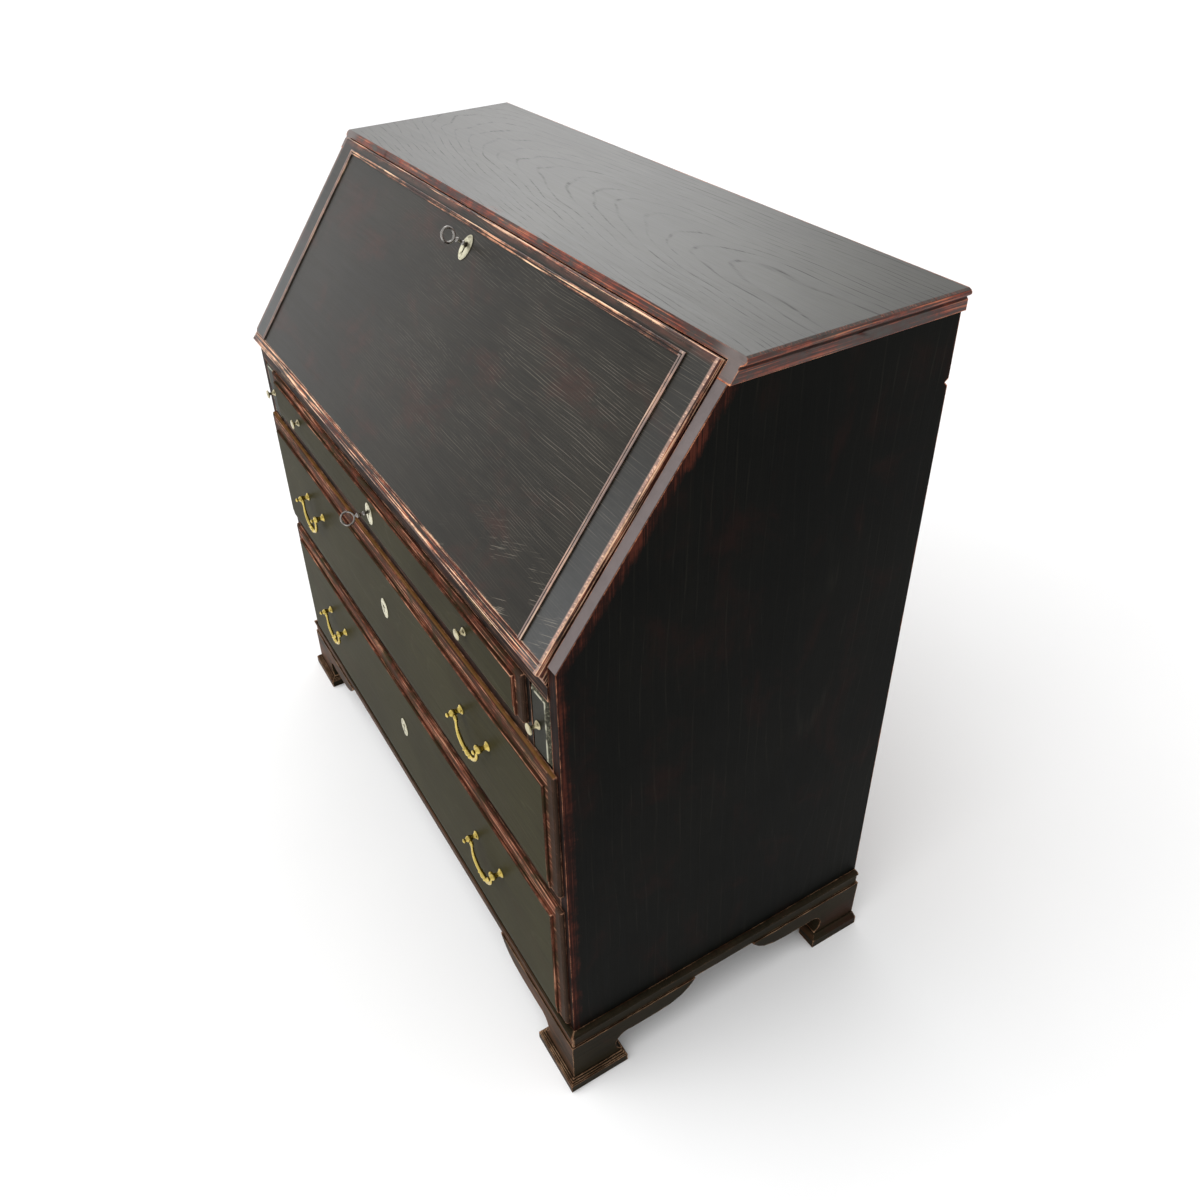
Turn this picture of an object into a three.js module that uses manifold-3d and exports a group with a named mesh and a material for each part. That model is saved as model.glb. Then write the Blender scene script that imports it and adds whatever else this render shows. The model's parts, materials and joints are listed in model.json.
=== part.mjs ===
// Slant-front secretary desk (bureau) in stained oak with brass fittings.
// Millimetres, +Z up, the front faces -Y, X runs to the viewer's right, the floor is Z = 0.
import * as THREE from "three";
import { mergeVertices } from "three/addons/utils/BufferGeometryUtils.js";
import Module from "manifold-3d";

const wasm = await Module();
wasm.setup();

// ---------------------------------------------------------------- driving dimensions
const GABLE_OUT = 490; // half the width over the two gables
const GABLE_T = 16;
const GABLE_IN = GABLE_OUT - GABLE_T;
const DEPTH = 480;
const HEIGHT = 1010;
const TOP_T = 24;
const TOP_UNDER = HEIGHT - TOP_T;
const FOOT_H = 86;
const SLOPE_LOW_Z = 729; // lower front corner of the gables' slanted edge
const SLOPE_TOP_Y = 206; // how far back the top board's front arris stands
const BACK_T = 12;
const BACK_Y = DEPTH - BACK_T;
const BOTTOM_UNDER = FOOT_H + 11;
const FIT = 0.3; // clearance round a piece let into another

// the slanted plane: T runs up the slope, N stands out from it
const SLOPE_LEN = Math.hypot(SLOPE_TOP_Y, HEIGHT - SLOPE_LOW_Z);
const TY = SLOPE_TOP_Y / SLOPE_LEN;
const TZ = (HEIGHT - SLOPE_LOW_Z) / SLOPE_LEN;

// writing height and the fall
const WRITING_Z = 703;
const WRITING_UNDER = 682.2;
const FALL_HALF = 472;
const FALL_OUT = 7.5; // how far the fall's face stands out of the slanted plane
const FALL_T = 21;
const FALL_BACK = FALL_OUT - FALL_T;
const FALL_TOP = 336.5;
const AXIS_T = (WRITING_Z - SLOPE_LOW_Z - FALL_BACK * TY) / TZ; // hinge axis, along the slope
const AXIS_Y = AXIS_T * TY - FALL_BACK * TZ;
const HINGE_X = 330;
const KNUCKLE_R = 2.8;

// levels of the lower case
const BOTTOM_TOP = 119;
const DRAWER_3 = { bottom: 120, top: 350, field: 328, line: 136 };
const MIDDLE_RAIL = { bottom: 342, shelf: 366, top: 378.5 };
const DRAWER_2 = { bottom: 380, top: 580.3, field: 555, line: 394 };
const UPPER_RAIL = { bottom: 572, shelf: 581, top: 610.5 };
const DRAWER_1 = { bottom: 611.5, top: 681, field: 670, line: 627 };
const LIP_PROUD = 6;
const FIELD_PROUD = 10;
const FRONT_T = 14; // thickness of a drawer front behind the case's front plane
const LIP_LAP = 9.5; // how far a front's lip rises above the part inside the case
const WIDE = { lip: 482, field: 463, box: 472.5 };
const NARROW = { lip: 424, field: 408, box: 416.5 };
const DRAWER_BACK_Y = 440;
const BOX_WALL = 11;
const BOX_FLOOR = 8;

// rails, partitions and lopers
const RAIL_DEPTH = 24;
const PARTITION_IN = 418;
const PARTITION_OUT = 432.5;
const GUIDE_W = 16; // strip along a partition that the top drawer runs on
const BOARD_PROUD = 1.5; // how far the writing board and the lopers stand out in front
const LOPER = { x0: 433.5, x1: 473.2, z0: 581.3, z1: 681.7, length: 430, bevel: 8 };
const LOPER_KNOB = { x: 449, z: 630, reach: 13, radius: 7.2 };

// hardware
const PLATE_T = 1.6;
const HANDLE_X = 290;
const HANDLE_HALF = 36.5; // half the distance between the two posts of a handle
const HANDLE_2_Z = 494;
const HANDLE_3_Z = 256;
const BAIL_STAND = 12; // distance of the bail's axis from the drawer's face
const KEYHOLE_R = 2.9;
const LOCK = { x: -6, half: 34, low: 288, t: 9.6 }; // the fall's lock, low: up the slope
const DRAWER_KNOB = { x: 292, reach: 11, radius: 7.4 };

const OAK = new THREE.MeshStandardMaterial({ color: 0x3a362d, roughness: 0.45 });
const INNER_OAK = new THREE.MeshStandardMaterial({ color: 0x6b4a2c, roughness: 0.7 });
const BRASS = new THREE.MeshStandardMaterial({ color: 0xc9ad5a, metalness: 1, roughness: 0.3 });
const STEEL = new THREE.MeshStandardMaterial({ color: 0x9a9a98, metalness: 1, roughness: 0.35 });

const desk = new THREE.Group();
desk.name = "secretary_desk";

// ---------------------------------------------------------------- shape helpers
function solidOf(geometry) {
  const plain = geometry.index ? geometry.toNonIndexed() : geometry.clone();
  const bare = new THREE.BufferGeometry();
  bare.setAttribute("position", plain.getAttribute("position"));
  const merged = mergeVertices(bare, 1e-4);
  const index = merged.index.array;
  const kept = [];
  for (let i = 0; i < index.length; i += 3) {
    const [a, b, c] = [index[i], index[i + 1], index[i + 2]];
    if (a !== b && b !== c && a !== c) kept.push(a, b, c);
  }
  const mesh = new wasm.Mesh({
    numProp: 3,
    vertProperties: new Float32Array(merged.attributes.position.array),
    triVerts: new Uint32Array(kept),
  });
  return new wasm.Manifold(mesh);
}

function geometryOf(solid) {
  const mesh = solid.getMesh();
  const positions = new Float32Array(mesh.triVerts.length * 3);
  mesh.triVerts.forEach((v, i) => {
    for (let k = 0; k < 3; k++) positions[i * 3 + k] = mesh.vertProperties[v * mesh.numProp + k];
  });
  const geometry = new THREE.BufferGeometry();
  geometry.setAttribute("position", new THREE.BufferAttribute(positions, 3));
  geometry.computeVertexNormals();
  return geometry;
}

function cut(base, ...tools) {
  return geometryOf(tools.reduce((s, t) => s.subtract(solidOf(t)), solidOf(base)));
}

function join(...pieces) {
  return geometryOf(pieces.slice(1).reduce((s, p) => s.add(solidOf(p)), solidOf(pieces[0])));
}

function box(x0, x1, y0, y1, z0, z1) {
  const geometry = new THREE.BoxGeometry(x1 - x0, y1 - y0, z1 - z0);
  return geometry.translate((x0 + x1) / 2, (y0 + y1) / 2, (z0 + z1) / 2);
}

// A closed skin through rings of equal length, each a list of [x, y, z]; a ring of one point is a tip.
function loft(rings) {
  const positions = [];
  const push = (a, b, c) => positions.push(...a, ...b, ...c);
  const at = (ring, i) => ring[i % ring.length];
  for (let r = 0; r + 1 < rings.length; r++) {
    const [p, q] = [rings[r], rings[r + 1]];
    const count = Math.max(p.length, q.length);
    for (let i = 0; i < count; i++) {
      if (p.length > 1) push(at(p, i), at(p, i + 1), at(q, i));
      if (q.length > 1) push(at(p, i + 1), at(q, i + 1), at(q, i));
    }
  }
  const [first, last] = [rings[0], rings[rings.length - 1]];
  for (let i = 1; i + 1 < first.length; i++) push(first[0], first[i + 1], first[i]);
  for (let i = 1; i + 1 < last.length; i++) push(last[0], last[i], last[i + 1]);
  if (signedVolume(positions) < 0) {
    for (let i = 0; i < positions.length; i += 9) {
      for (let k = 0; k < 3; k++) {
        [positions[i + k], positions[i + 3 + k]] = [positions[i + 3 + k], positions[i + k]];
      }
    }
  }
  const geometry = new THREE.BufferGeometry();
  geometry.setAttribute("position", new THREE.Float32BufferAttribute(positions, 3));
  geometry.computeVertexNormals();
  return geometry;
}

function signedVolume(p) {
  let total = 0;
  for (let i = 0; i < p.length; i += 9) {
    total +=
      p[i] * (p[i + 4] * p[i + 8] - p[i + 5] * p[i + 7]) -
      p[i + 1] * (p[i + 3] * p[i + 8] - p[i + 5] * p[i + 6]) +
      p[i + 2] * (p[i + 3] * p[i + 7] - p[i + 4] * p[i + 6]);
  }
  return total;
}

// Rectangles in X and Z stacked along Y: each section is [y, x0, x1, z0, z1].
function stackY(sections) {
  return loft(
    sections.map(([y, x0, x1, z0, z1]) => [
      [x0, y, z0],
      [x1, y, z0],
      [x1, y, z1],
      [x0, y, z1],
    ]),
  );
}

// Rectangles in X and Y stacked along Z: each section is [z, x0, x1, y0, y1].
function stackZ(sections) {
  return loft(
    sections.map(([z, x0, x1, y0, y1]) => [
      [x0, y0, z],
      [x1, y0, z],
      [x1, y1, z],
      [x0, y1, z],
    ]),
  );
}

function prism(points, length) {
  const shape = new THREE.Shape(points.map(([a, b]) => new THREE.Vector2(a, b)));
  return new THREE.ExtrudeGeometry(shape, { depth: length, bevelEnabled: false });
}

// A profile in Y and Z run along X.
function alongX(profile, x0, x1) {
  const turn = new THREE.Matrix4().set(0, 0, 1, x0, 1, 0, 0, 0, 0, 1, 0, 0, 0, 0, 0, 1);
  return prism(profile, x1 - x0).applyMatrix4(turn);
}

// A profile in X and Z run along Y.
function alongY(profile, y0, y1) {
  return prism(profile, y1 - y0)
    .rotateX(Math.PI / 2)
    .translate(0, y1, 0);
}

// A turned solid on the Z axis: the profile is a list of [radius, height].
function turned(profile, sides) {
  const rings = profile.map(([r, h]) =>
    r === 0
      ? [[0, 0, h]]
      : Array.from({ length: sides }, (_, i) => {
          const a = (2 * Math.PI * i) / sides;
          return [r * Math.cos(a), r * Math.sin(a), h];
        }),
  );
  return loft(rings);
}

// A round bar through points in the XZ plane: each point is [x, z, radius].
function bar(path, sides) {
  const curve = path.map(([x, z, r], i) => {
    const [xa, za] = path[Math.max(i - 1, 0)];
    const [xb, zb] = path[Math.min(i + 1, path.length - 1)];
    const run = Math.hypot(xb - xa, zb - za);
    const [nx, nz] = [-(zb - za) / run, (xb - xa) / run];
    return Array.from({ length: sides }, (_, k) => {
      const a = (2 * Math.PI * k) / sides;
      return [x + r * Math.cos(a) * nx, r * Math.sin(a), z + r * Math.cos(a) * nz];
    });
  });
  return loft(curve);
}

function mirrored(geometry) {
  const plain = geometry.index ? geometry.toNonIndexed() : geometry.clone();
  const p = plain.getAttribute("position");
  const positions = [];
  for (let i = 0; i < p.count; i += 3) {
    for (const k of [0, 2, 1]) positions.push(-p.getX(i + k), p.getY(i + k), p.getZ(i + k));
  }
  const made = new THREE.BufferGeometry();
  made.setAttribute("position", new THREE.Float32BufferAttribute(positions, 3));
  made.computeVertexNormals();
  return made;
}

function add(name, geometry, material) {
  const mesh = new THREE.Mesh(geometry, material);
  mesh.name = name;
  desk.add(mesh);
}

function addPair(name, rightGeometry, material) {
  add(name + "_right", rightGeometry, material);
  add(name + "_left", mirrored(rightGeometry), material);
}

// ---------------------------------------------------------------- gables, top, back, bottom
const slopeY = (z) => ((z - SLOPE_LOW_Z) * TY) / TZ;
const onSlope = (t, n) => [t * TY - n * TZ, SLOPE_LOW_Z + t * TZ + n * TY];

const REBATE_W = 8;
const CHIP_Z = 905;
const gableProfile = [
  [0, FOOT_H],
  [DEPTH, FOOT_H],
  [DEPTH, TOP_UNDER],
  [slopeY(TOP_UNDER), TOP_UNDER],
  [0, SLOPE_LOW_Z],
];
const gable = cut(
  alongX(gableProfile, GABLE_IN, GABLE_OUT),
  box(GABLE_IN - 1, GABLE_IN + REBATE_W, BACK_Y, DEPTH + 1, BOTTOM_UNDER, TOP_UNDER + 1),
);
// an old chip out of the right gable's back edge
const chip = new THREE.BoxGeometry(9, 5, 9).rotateX(0.7).rotateZ(0.5);
chip.translate(GABLE_OUT, DEPTH + 1, CHIP_Z);
add("gable_right", cut(gable, chip), OAK);
add("gable_left", mirrored(gable), OAK);

// top board: moulded along both ends, bevelled to the slope, rebated for the fall
const TOP_BACK = DEPTH + 3;
const NOSING = [
  [GABLE_OUT + 3, TOP_UNDER],
  [GABLE_OUT + 3, TOP_UNDER + 12],
  [GABLE_OUT + 1.2, TOP_UNDER + 13.5],
  [GABLE_OUT + 1.6, TOP_UNDER + 15],
  [GABLE_OUT + 4.6, TOP_UNDER + 16.5],
  [GABLE_OUT + 6.4, TOP_UNDER + 18.5],
  [GABLE_OUT + 6.4, TOP_UNDER + 20.5],
  [GABLE_OUT + 4.8, TOP_UNDER + 22.6],
  [GABLE_OUT + 1.6, HEIGHT],
];
const topSection = [...NOSING, ...NOSING.map(([x, z]) => [-x, z]).reverse()];
const REBATE_T = FALL_TOP + 1.5;
const REBATE_N = FALL_BACK - 1.5;
const BOLT_SLOT = { width: 34, height: 24, depth: 5 }; // in the rebate, above the bolt
const topFront = [
  [slopeY(TOP_UNDER - 10), TOP_UNDER - 10],
  [slopeY(HEIGHT + 10), HEIGHT + 10],
  [-50, HEIGHT + 10],
  [-50, TOP_UNDER - 10],
];
const fallRebate = [
  onSlope(REBATE_T, 40),
  onSlope(REBATE_T - 60, 40),
  onSlope(REBATE_T - 60, REBATE_N),
  onSlope(REBATE_T, REBATE_N),
];
add(
  "top_board",
  cut(
    alongY(topSection, slopeY(TOP_UNDER) - 1, TOP_BACK),
    alongX(topFront, -600, 600),
    alongX(fallRebate, -GABLE_IN, GABLE_IN),
    slopeFrame(
      new THREE.BoxGeometry(BOLT_SLOT.width, BOLT_SLOT.height, BOLT_SLOT.depth).translate(
        LOCK.x,
        REBATE_T,
        FALL_BACK + 3,
      ),
    ),
  ),
  OAK,
);

function slopeFrame(geometry) {
  const frame = new THREE.Matrix4().makeBasis(
    new THREE.Vector3(1, 0, 0),
    new THREE.Vector3(0, TY, TZ),
    new THREE.Vector3(0, -TZ, TY),
  );
  frame.setPosition(0, 0, SLOPE_LOW_Z);
  return geometry.applyMatrix4(frame);
}

const backHalf = GABLE_IN + REBATE_W;
add("back_panel", box(-backHalf, backHalf, BACK_Y, DEPTH, BOTTOM_UNDER, TOP_UNDER), INNER_OAK);
add("bottom_board", box(-GABLE_IN, GABLE_IN, 0, BACK_Y, BOTTOM_UNDER, BOTTOM_TOP), OAK);

// ---------------------------------------------------------------- plinth moulding
const plinthProfile = [
  [0, FOOT_H],
  [6, FOOT_H],
  [6, FOOT_H + 18],
  [8.4, FOOT_H + 20],
  [8.4, FOOT_H + 22.5],
  [6.6, FOOT_H + 24.2],
  [3, FOOT_H + 25],
  [0, FOOT_H + 25],
];
const MITRE = 12;
const sidePlinth = alongY(
  plinthProfile.map(([out, z]) => [GABLE_OUT + out, z]),
  -MITRE,
  DEPTH,
);
const mitreCut = prism(
  [
    [GABLE_OUT - MITRE, MITRE],
    [GABLE_OUT + 2 * MITRE, -2 * MITRE],
    [GABLE_OUT - MITRE, -2 * MITRE],
  ],
  HEIGHT,
);
addPair("plinth", cut(sidePlinth, mitreCut), OAK);
const frontPlinth = plinthProfile.map(([out, z]) => [-out, z]).reverse();
const frontEnd = GABLE_OUT + MITRE;
const outerMitre = prism(
  [
    [GABLE_OUT - MITRE, MITRE],
    [GABLE_OUT + 2 * MITRE, MITRE],
    [GABLE_OUT + 2 * MITRE, -2 * MITRE],
  ],
  HEIGHT,
);
add(
  "plinth_front",
  cut(alongX(frontPlinth, -frontEnd, frontEnd), outerMitre, mirrored(outerMitre)),
  OAK,
);

// ---------------------------------------------------------------- bracket feet
const BRACKET_OUT = 8;
const BRACKET_T = 22;
const PAD_OUT = 16;
const PAD_H = 20;
const PAD_LEN = 84; // from the bracket's outer corner
const EAR_Z = 57;

// outline of one bracket board: distance from its outer corner, height
const ANKLE = 72; // width of a bracket's foot at the floor
const CUSP = { s: 86, z: 38.5, r: 19.6, from: 242, to: 72, steps: 9 }; // hollow behind it
function bracketOutline(reach) {
  const arc = [];
  const { s, z, r, from, to, steps } = CUSP;
  for (let i = 0; i <= steps; i++) {
    const a = ((from + (to - from) * (i / steps)) * Math.PI) / 180;
    arc.push([s + r * Math.cos(a), z + r * Math.sin(a)]);
  }
  return [
    [0, 0],
    [ANKLE, 0],
    [ANKLE + 3, PAD_H],
    ...arc,
    [96, EAR_Z],
    [reach - 62, EAR_Z],
    [reach - 40, 59],
    [reach - 22, 65],
    [reach - 11, 73],
    [reach - 5, 80],
    [reach, FOOT_H],
    [0, FOOT_H],
  ];
}

function pad(alongSide, alongFront) {
  const [x1, y0] = [GABLE_OUT + PAD_OUT, -PAD_OUT];
  const inset = BRACKET_OUT + BRACKET_T;
  const leg = (grow) => [
    [x1 - grow, y0 + grow],
    [x1 - grow, y0 + alongSide - grow],
    [x1 - inset, y0 + alongSide - grow],
    [x1 - inset, y0 + inset],
    [x1 - alongFront + grow, y0 + inset],
    [x1 - alongFront + grow, y0 + grow],
  ];
  const slab = (grow, z0, z1) => prism(leg(grow), z1 - z0).translate(0, 0, z0);
  const steps = [
    [0.6, 0, 1.2],
    [0, 1.2, 14],
    [1.2, 14, 16],
    [3.2, 16, 18],
    [5.6, 18, PAD_H],
  ];
  return join(...steps.map(([grow, z0, z1]) => slab(grow, z0, z1)));
}

const frontReach = 202;
const sideReach = 196;
const cornerX = GABLE_OUT + BRACKET_OUT;
const sideBracket = (reach) =>
  alongX(
    bracketOutline(reach).map(([s, z]) => [-BRACKET_OUT + s, z]),
    cornerX - BRACKET_T,
    cornerX,
  );
const frontBracket = alongY(
  bracketOutline(frontReach).map(([s, z]) => [cornerX - s, z]).reverse(),
  -BRACKET_OUT,
  -BRACKET_OUT + BRACKET_T,
);
const BLOCK_REACH = 60; // how far the block glued in a foot's corner runs along each side
const BLOCK_LOW = 8;
const gluedBlock = box(
  cornerX - BLOCK_REACH,
  cornerX - BRACKET_T,
  BRACKET_T - BRACKET_OUT,
  BLOCK_REACH - BRACKET_OUT,
  BLOCK_LOW,
  FOOT_H,
);
addPair(
  "foot_front",
  join(sideBracket(sideReach), frontBracket, pad(PAD_LEN + 4, PAD_LEN + 6), gluedBlock),
  OAK,
);

const REAR_Y = DEPTH + 3;
const rearSide = alongX(
  bracketOutline(sideReach)
    .map(([s, z]) => [REAR_Y - s - (s === 0 && z === 0 ? 3 : 0), z])
    .reverse(),
  cornerX - BRACKET_T,
  cornerX,
);
const rearPad = stackZ([
  [0, cornerX - BRACKET_T, GABLE_OUT + PAD_OUT, REAR_Y - PAD_LEN, REAR_Y - 1],
  [14, cornerX - BRACKET_T, GABLE_OUT + PAD_OUT, REAR_Y - PAD_LEN, REAR_Y - 1],
  [PAD_H, cornerX - BRACKET_T, GABLE_OUT + PAD_OUT - 6, REAR_Y - PAD_LEN + 6, REAR_Y - 2],
]);
const REAR_BOARD = { reach: 112, t: 20 };
const rearBoard = box(
  cornerX - REAR_BOARD.reach,
  cornerX - BRACKET_T,
  DEPTH - REAR_BOARD.t,
  DEPTH,
  0,
  FOOT_H,
);
const rearBlock = box(
  cornerX - BLOCK_REACH,
  cornerX - BRACKET_T,
  DEPTH - BLOCK_REACH,
  DEPTH - REAR_BOARD.t,
  BLOCK_LOW,
  FOOT_H,
);
addPair("foot_rear", join(rearSide, rearPad, rearBoard, rearBlock), OAK);

// ---------------------------------------------------------------- writing board, rails, partitions
const HINGE_LEAF = { half: 30, middle: 10, depth: 22, t: 2 };
const hingeGroove = (x) =>
  turned(
    [
      [KNUCKLE_R + 0.5, -HINGE_LEAF.half - FIT],
      [KNUCKLE_R + 0.5, HINGE_LEAF.half + FIT],
    ],
    16,
  )
    .rotateY(Math.PI / 2)
    .translate(x, AXIS_Y, WRITING_Z);
const leafSeat = (x) =>
  box(
    x - HINGE_LEAF.half - FIT,
    x + HINGE_LEAF.half + FIT,
    AXIS_Y,
    AXIS_Y + HINGE_LEAF.depth + FIT,
    WRITING_Z - HINGE_LEAF.t,
    WRITING_Z + 1,
  );
add(
  "writing_board",
  cut(
    box(-GABLE_IN, GABLE_IN, -BOARD_PROUD, BACK_Y, WRITING_UNDER, WRITING_Z),
    hingeGroove(HINGE_X),
    hingeGroove(-HINGE_X),
    leafSeat(HINGE_X),
    leafSeat(-HINGE_X),
  ),
  OAK,
);
add(
  "rail_upper",
  join(
    box(-GABLE_IN, GABLE_IN, 0, BACK_Y, UPPER_RAIL.bottom, UPPER_RAIL.shelf),
    box(-PARTITION_IN, PARTITION_IN, 0, RAIL_DEPTH, UPPER_RAIL.shelf - 1, UPPER_RAIL.top),
  ),
  OAK,
);
add(
  "rail_middle",
  join(
    box(-GABLE_IN, GABLE_IN, 0, RAIL_DEPTH, MIDDLE_RAIL.bottom, MIDDLE_RAIL.top),
    box(-GABLE_IN, GABLE_IN, RAIL_DEPTH - 1, BACK_Y, MIDDLE_RAIL.shelf, MIDDLE_RAIL.top),
  ),
  OAK,
);
addPair(
  "partition",
  join(
    box(PARTITION_IN, PARTITION_OUT, 0, BACK_Y, UPPER_RAIL.shelf, WRITING_UNDER),
    box(
      PARTITION_IN - GUIDE_W,
      PARTITION_IN + 1,
      RAIL_DEPTH,
      BACK_Y,
      UPPER_RAIL.shelf,
      UPPER_RAIL.top,
    ),
  ),
  OAK,
);

// ---------------------------------------------------------------- gallery inside the fall
const GALLERY_Y = 228;
const SHELF_Z = 770;
const GALLERY_T = 9;
const SMALL_DIVIDER_X = 158;
const pigeonholeDividers = [-285, -95, 95, 285];
const upright = (x, z0, z1) =>
  box(x - GALLERY_T / 2, x + GALLERY_T / 2, GALLERY_Y + 2, BACK_Y, z0, z1);
add(
  "gallery",
  join(
    box(-GABLE_IN, GABLE_IN, GALLERY_Y, BACK_Y, SHELF_Z, SHELF_Z + GALLERY_T),
    ...[-SMALL_DIVIDER_X, SMALL_DIVIDER_X].map((x) => upright(x, WRITING_Z, SHELF_Z + 1)),
    ...pigeonholeDividers.map((x) => upright(x, SHELF_Z + 1, TOP_UNDER)),
  ),
  INNER_OAK,
);

const SMALL_DRAWER = { back: 452, side: 7, front: 11, rear: 8, floor: 5, play: 0.8 };
function smallDrawer(x0, x1) {
  const { back, side, front, rear, floor, play } = SMALL_DRAWER;
  const [z0, z1] = [WRITING_Z + 0.6, SHELF_Z - play];
  const outer = box(x0, x1, GALLERY_Y, back, z0, z1);
  const inner = box(x0 + side, x1 - side, GALLERY_Y + front, back - rear, z0 + floor, z1 + 1);
  const knob = turned(
    [
      [5, -2],
      [4, 2],
      [3.4, 5],
      [6.5, 8],
      [6.8, 10.5],
      [4.2, 13],
      [0, 13.6],
    ],
    14,
  );
  knob.rotateX(Math.PI / 2).translate((x0 + x1) / 2, GALLERY_Y, (z0 + z1) / 2);
  return join(cut(outer, inner), knob);
}
const smallInner = SMALL_DIVIDER_X - GALLERY_T / 2 - SMALL_DRAWER.play;
const smallOuter = SMALL_DIVIDER_X + GALLERY_T / 2 + SMALL_DRAWER.play;
addPair("gallery_drawer", smallDrawer(smallOuter, GABLE_IN - SMALL_DRAWER.play), INNER_OAK);
add("gallery_drawer_middle", smallDrawer(-smallInner, smallInner), INNER_OAK);

// ---------------------------------------------------------------- lopers
const loper = stackY([
  [LOPER.length, LOPER.x0, LOPER.x1, LOPER.z0, LOPER.z1],
  [3, LOPER.x0, LOPER.x1, LOPER.z0, LOPER.z1],
  [
    -BOARD_PROUD,
    LOPER.x0 + 5,
    LOPER.x1 - LOPER.bevel,
    LOPER.z0 + LOPER.bevel,
    LOPER.z1 - LOPER.bevel,
  ],
]);
addPair("loper", loper, OAK);

function discKnob({ reach, radius }) {
  const knob = turned(
    [
      [5.6, 0],
      [5.6, 1.2],
      [3.6, 2.6],
      [2.4, 4.4],
      [2.2, reach - 4.5],
      [3.4, reach - 3.2],
      [radius - 0.6, reach - 2.4],
      [radius, reach - 1.2],
      [radius - 0.9, reach - 0.2],
      [radius - 3, reach],
    ],
    20,
  );
  return knob.rotateX(Math.PI / 2);
}
const loperKnob = discKnob(LOPER_KNOB).translate(LOPER_KNOB.x, -BOARD_PROUD, LOPER_KNOB.z);
addPair("loper_knob", loperKnob, BRASS);

// ---------------------------------------------------------------- keys, escutcheons
// These four are made facing +Z with their lower end towards -Y.
function key(inside, outside, turn) {
  const shaft = turned(
    [
      [2.1, -inside],
      [2.1, 5],
      [3.3, 6],
      [3.3, 7.2],
      [2.2, 8.4],
      [2.2, outside - 15.5],
      [3.4, outside - 14.6],
      [3.4, outside - 13],
      [1.8, outside - 11.4],
      [1.8, outside - 8.6],
    ],
    14,
  );
  const ring = new THREE.TorusGeometry(9, 1.5, 8, 26).rotateX(Math.PI / 2);
  ring.translate(0, 0, outside);
  const bit = box(1.4, 6, -1, 1, -inside, -inside + 4);
  return join(shaft, ring, bit).rotateZ(turn);
}

function roundHole(radius, z0, z1) {
  return turned(
    [
      [radius, z0],
      [radius, z1],
    ],
    16,
  );
}

// a round eye with a slot below it
function keyhole(z0, z1) {
  return join(roundHole(KEYHOLE_R, z0, z1), box(-1.2, 1.2, -11, 0, z0, z1));
}

const ESCUTCHEON_DROP = 3.5;
function escutcheon() {
  const oval = (height, inset) =>
    Array.from({ length: 32 }, (_, i) => {
      const a = (2 * Math.PI * i) / 32;
      return [
        (11.6 - inset) * Math.cos(a),
        (16.8 - inset) * Math.sin(a) - ESCUTCHEON_DROP,
        height,
      ];
    });
  return cut(loft([oval(0, 0), oval(PLATE_T - 0.6, 0), oval(PLATE_T, 0.8)]), keyhole(-5, 5));
}

// Turns a piece made facing +Z to face the front and sets it at a point.
const facing = (geometry, x, y, z) => geometry.rotateX(Math.PI / 2).translate(x, y, z);

// ---------------------------------------------------------------- drawers
function drawerFront(width, level, keyZ) {
  const { lip, field, box: half } = width;
  const { bottom, top, field: fieldTop, line } = level;
  const body = stackY([
    [FRONT_T, -half, half, bottom + 0.3, top - LIP_LAP],
    [0, -half, half, bottom + 0.3, top - LIP_LAP],
    [0, -lip, lip, bottom, top],
    [-LIP_PROUD + 3.2, -lip, lip, bottom, top],
    [-LIP_PROUD + 1.2, -lip + 0.8, lip - 0.8, bottom + 0.1, top - 0.8],
    [-LIP_PROUD, -lip + 3, lip - 3, bottom + 0.2, top - 3],
    [-LIP_PROUD, -field, field, bottom + 0.3, fieldTop],
    [-FIELD_PROUD + 1.2, -field, field, bottom + 0.3, fieldTop],
    [-FIELD_PROUD, -field + 1.2, field - 1.2, bottom + 0.5, fieldTop - 1.2],
  ]);
  const lowerStrip = alongX(
    [
      [-FIELD_PROUD - 1, bottom - 1],
      [-FIELD_PROUD + 2.6, bottom - 1],
      [-FIELD_PROUD + 1.2, bottom + 4],
      [-FIELD_PROUD + 0.9, line - 1.5],
      [-FIELD_PROUD, line],
      [-FIELD_PROUD - 1, line],
    ],
    -lip - 1,
    lip + 1,
  );
  return cut(body, lowerStrip, facing(keyhole(-FRONT_T - 5, 20), 0, 0, keyZ));
}

function drawerBox(half, z0, z1) {
  const outer = box(-half, half, FRONT_T, DRAWER_BACK_Y, z0, z1);
  const inner = box(
    -half + BOX_WALL,
    half - BOX_WALL,
    FRONT_T - 1,
    DRAWER_BACK_Y - BOX_WALL,
    z0 + BOX_FLOOR,
    z1 + 1,
  );
  return cut(outer, inner);
}

function handlePost(side) {
  const post = turned(
    [
      [6.6, 0],
      [6.6, 1.2],
      [5, 2.2],
      [3.7, 3.4],
      [3.3, 6],
      [3.3, BAIL_STAND - 4.2],
      [4.4, BAIL_STAND - 2.6],
      [5, BAIL_STAND],
      [4.4, BAIL_STAND + 2.6],
      [2.6, BAIL_STAND + 4.4],
      [2, BAIL_STAND + 5.4],
      [3.2, BAIL_STAND + 7],
      [3, BAIL_STAND + 8.6],
      [0, BAIL_STAND + 9.8],
    ],
    16,
  ).rotateX(Math.PI / 2);
  const socket = new THREE.CylinderGeometry(1.8, 1.8, 7, 12).rotateZ(Math.PI / 2);
  socket.translate(-side * 4.7, -BAIL_STAND, 0);
  return cut(post, socket);
}

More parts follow.
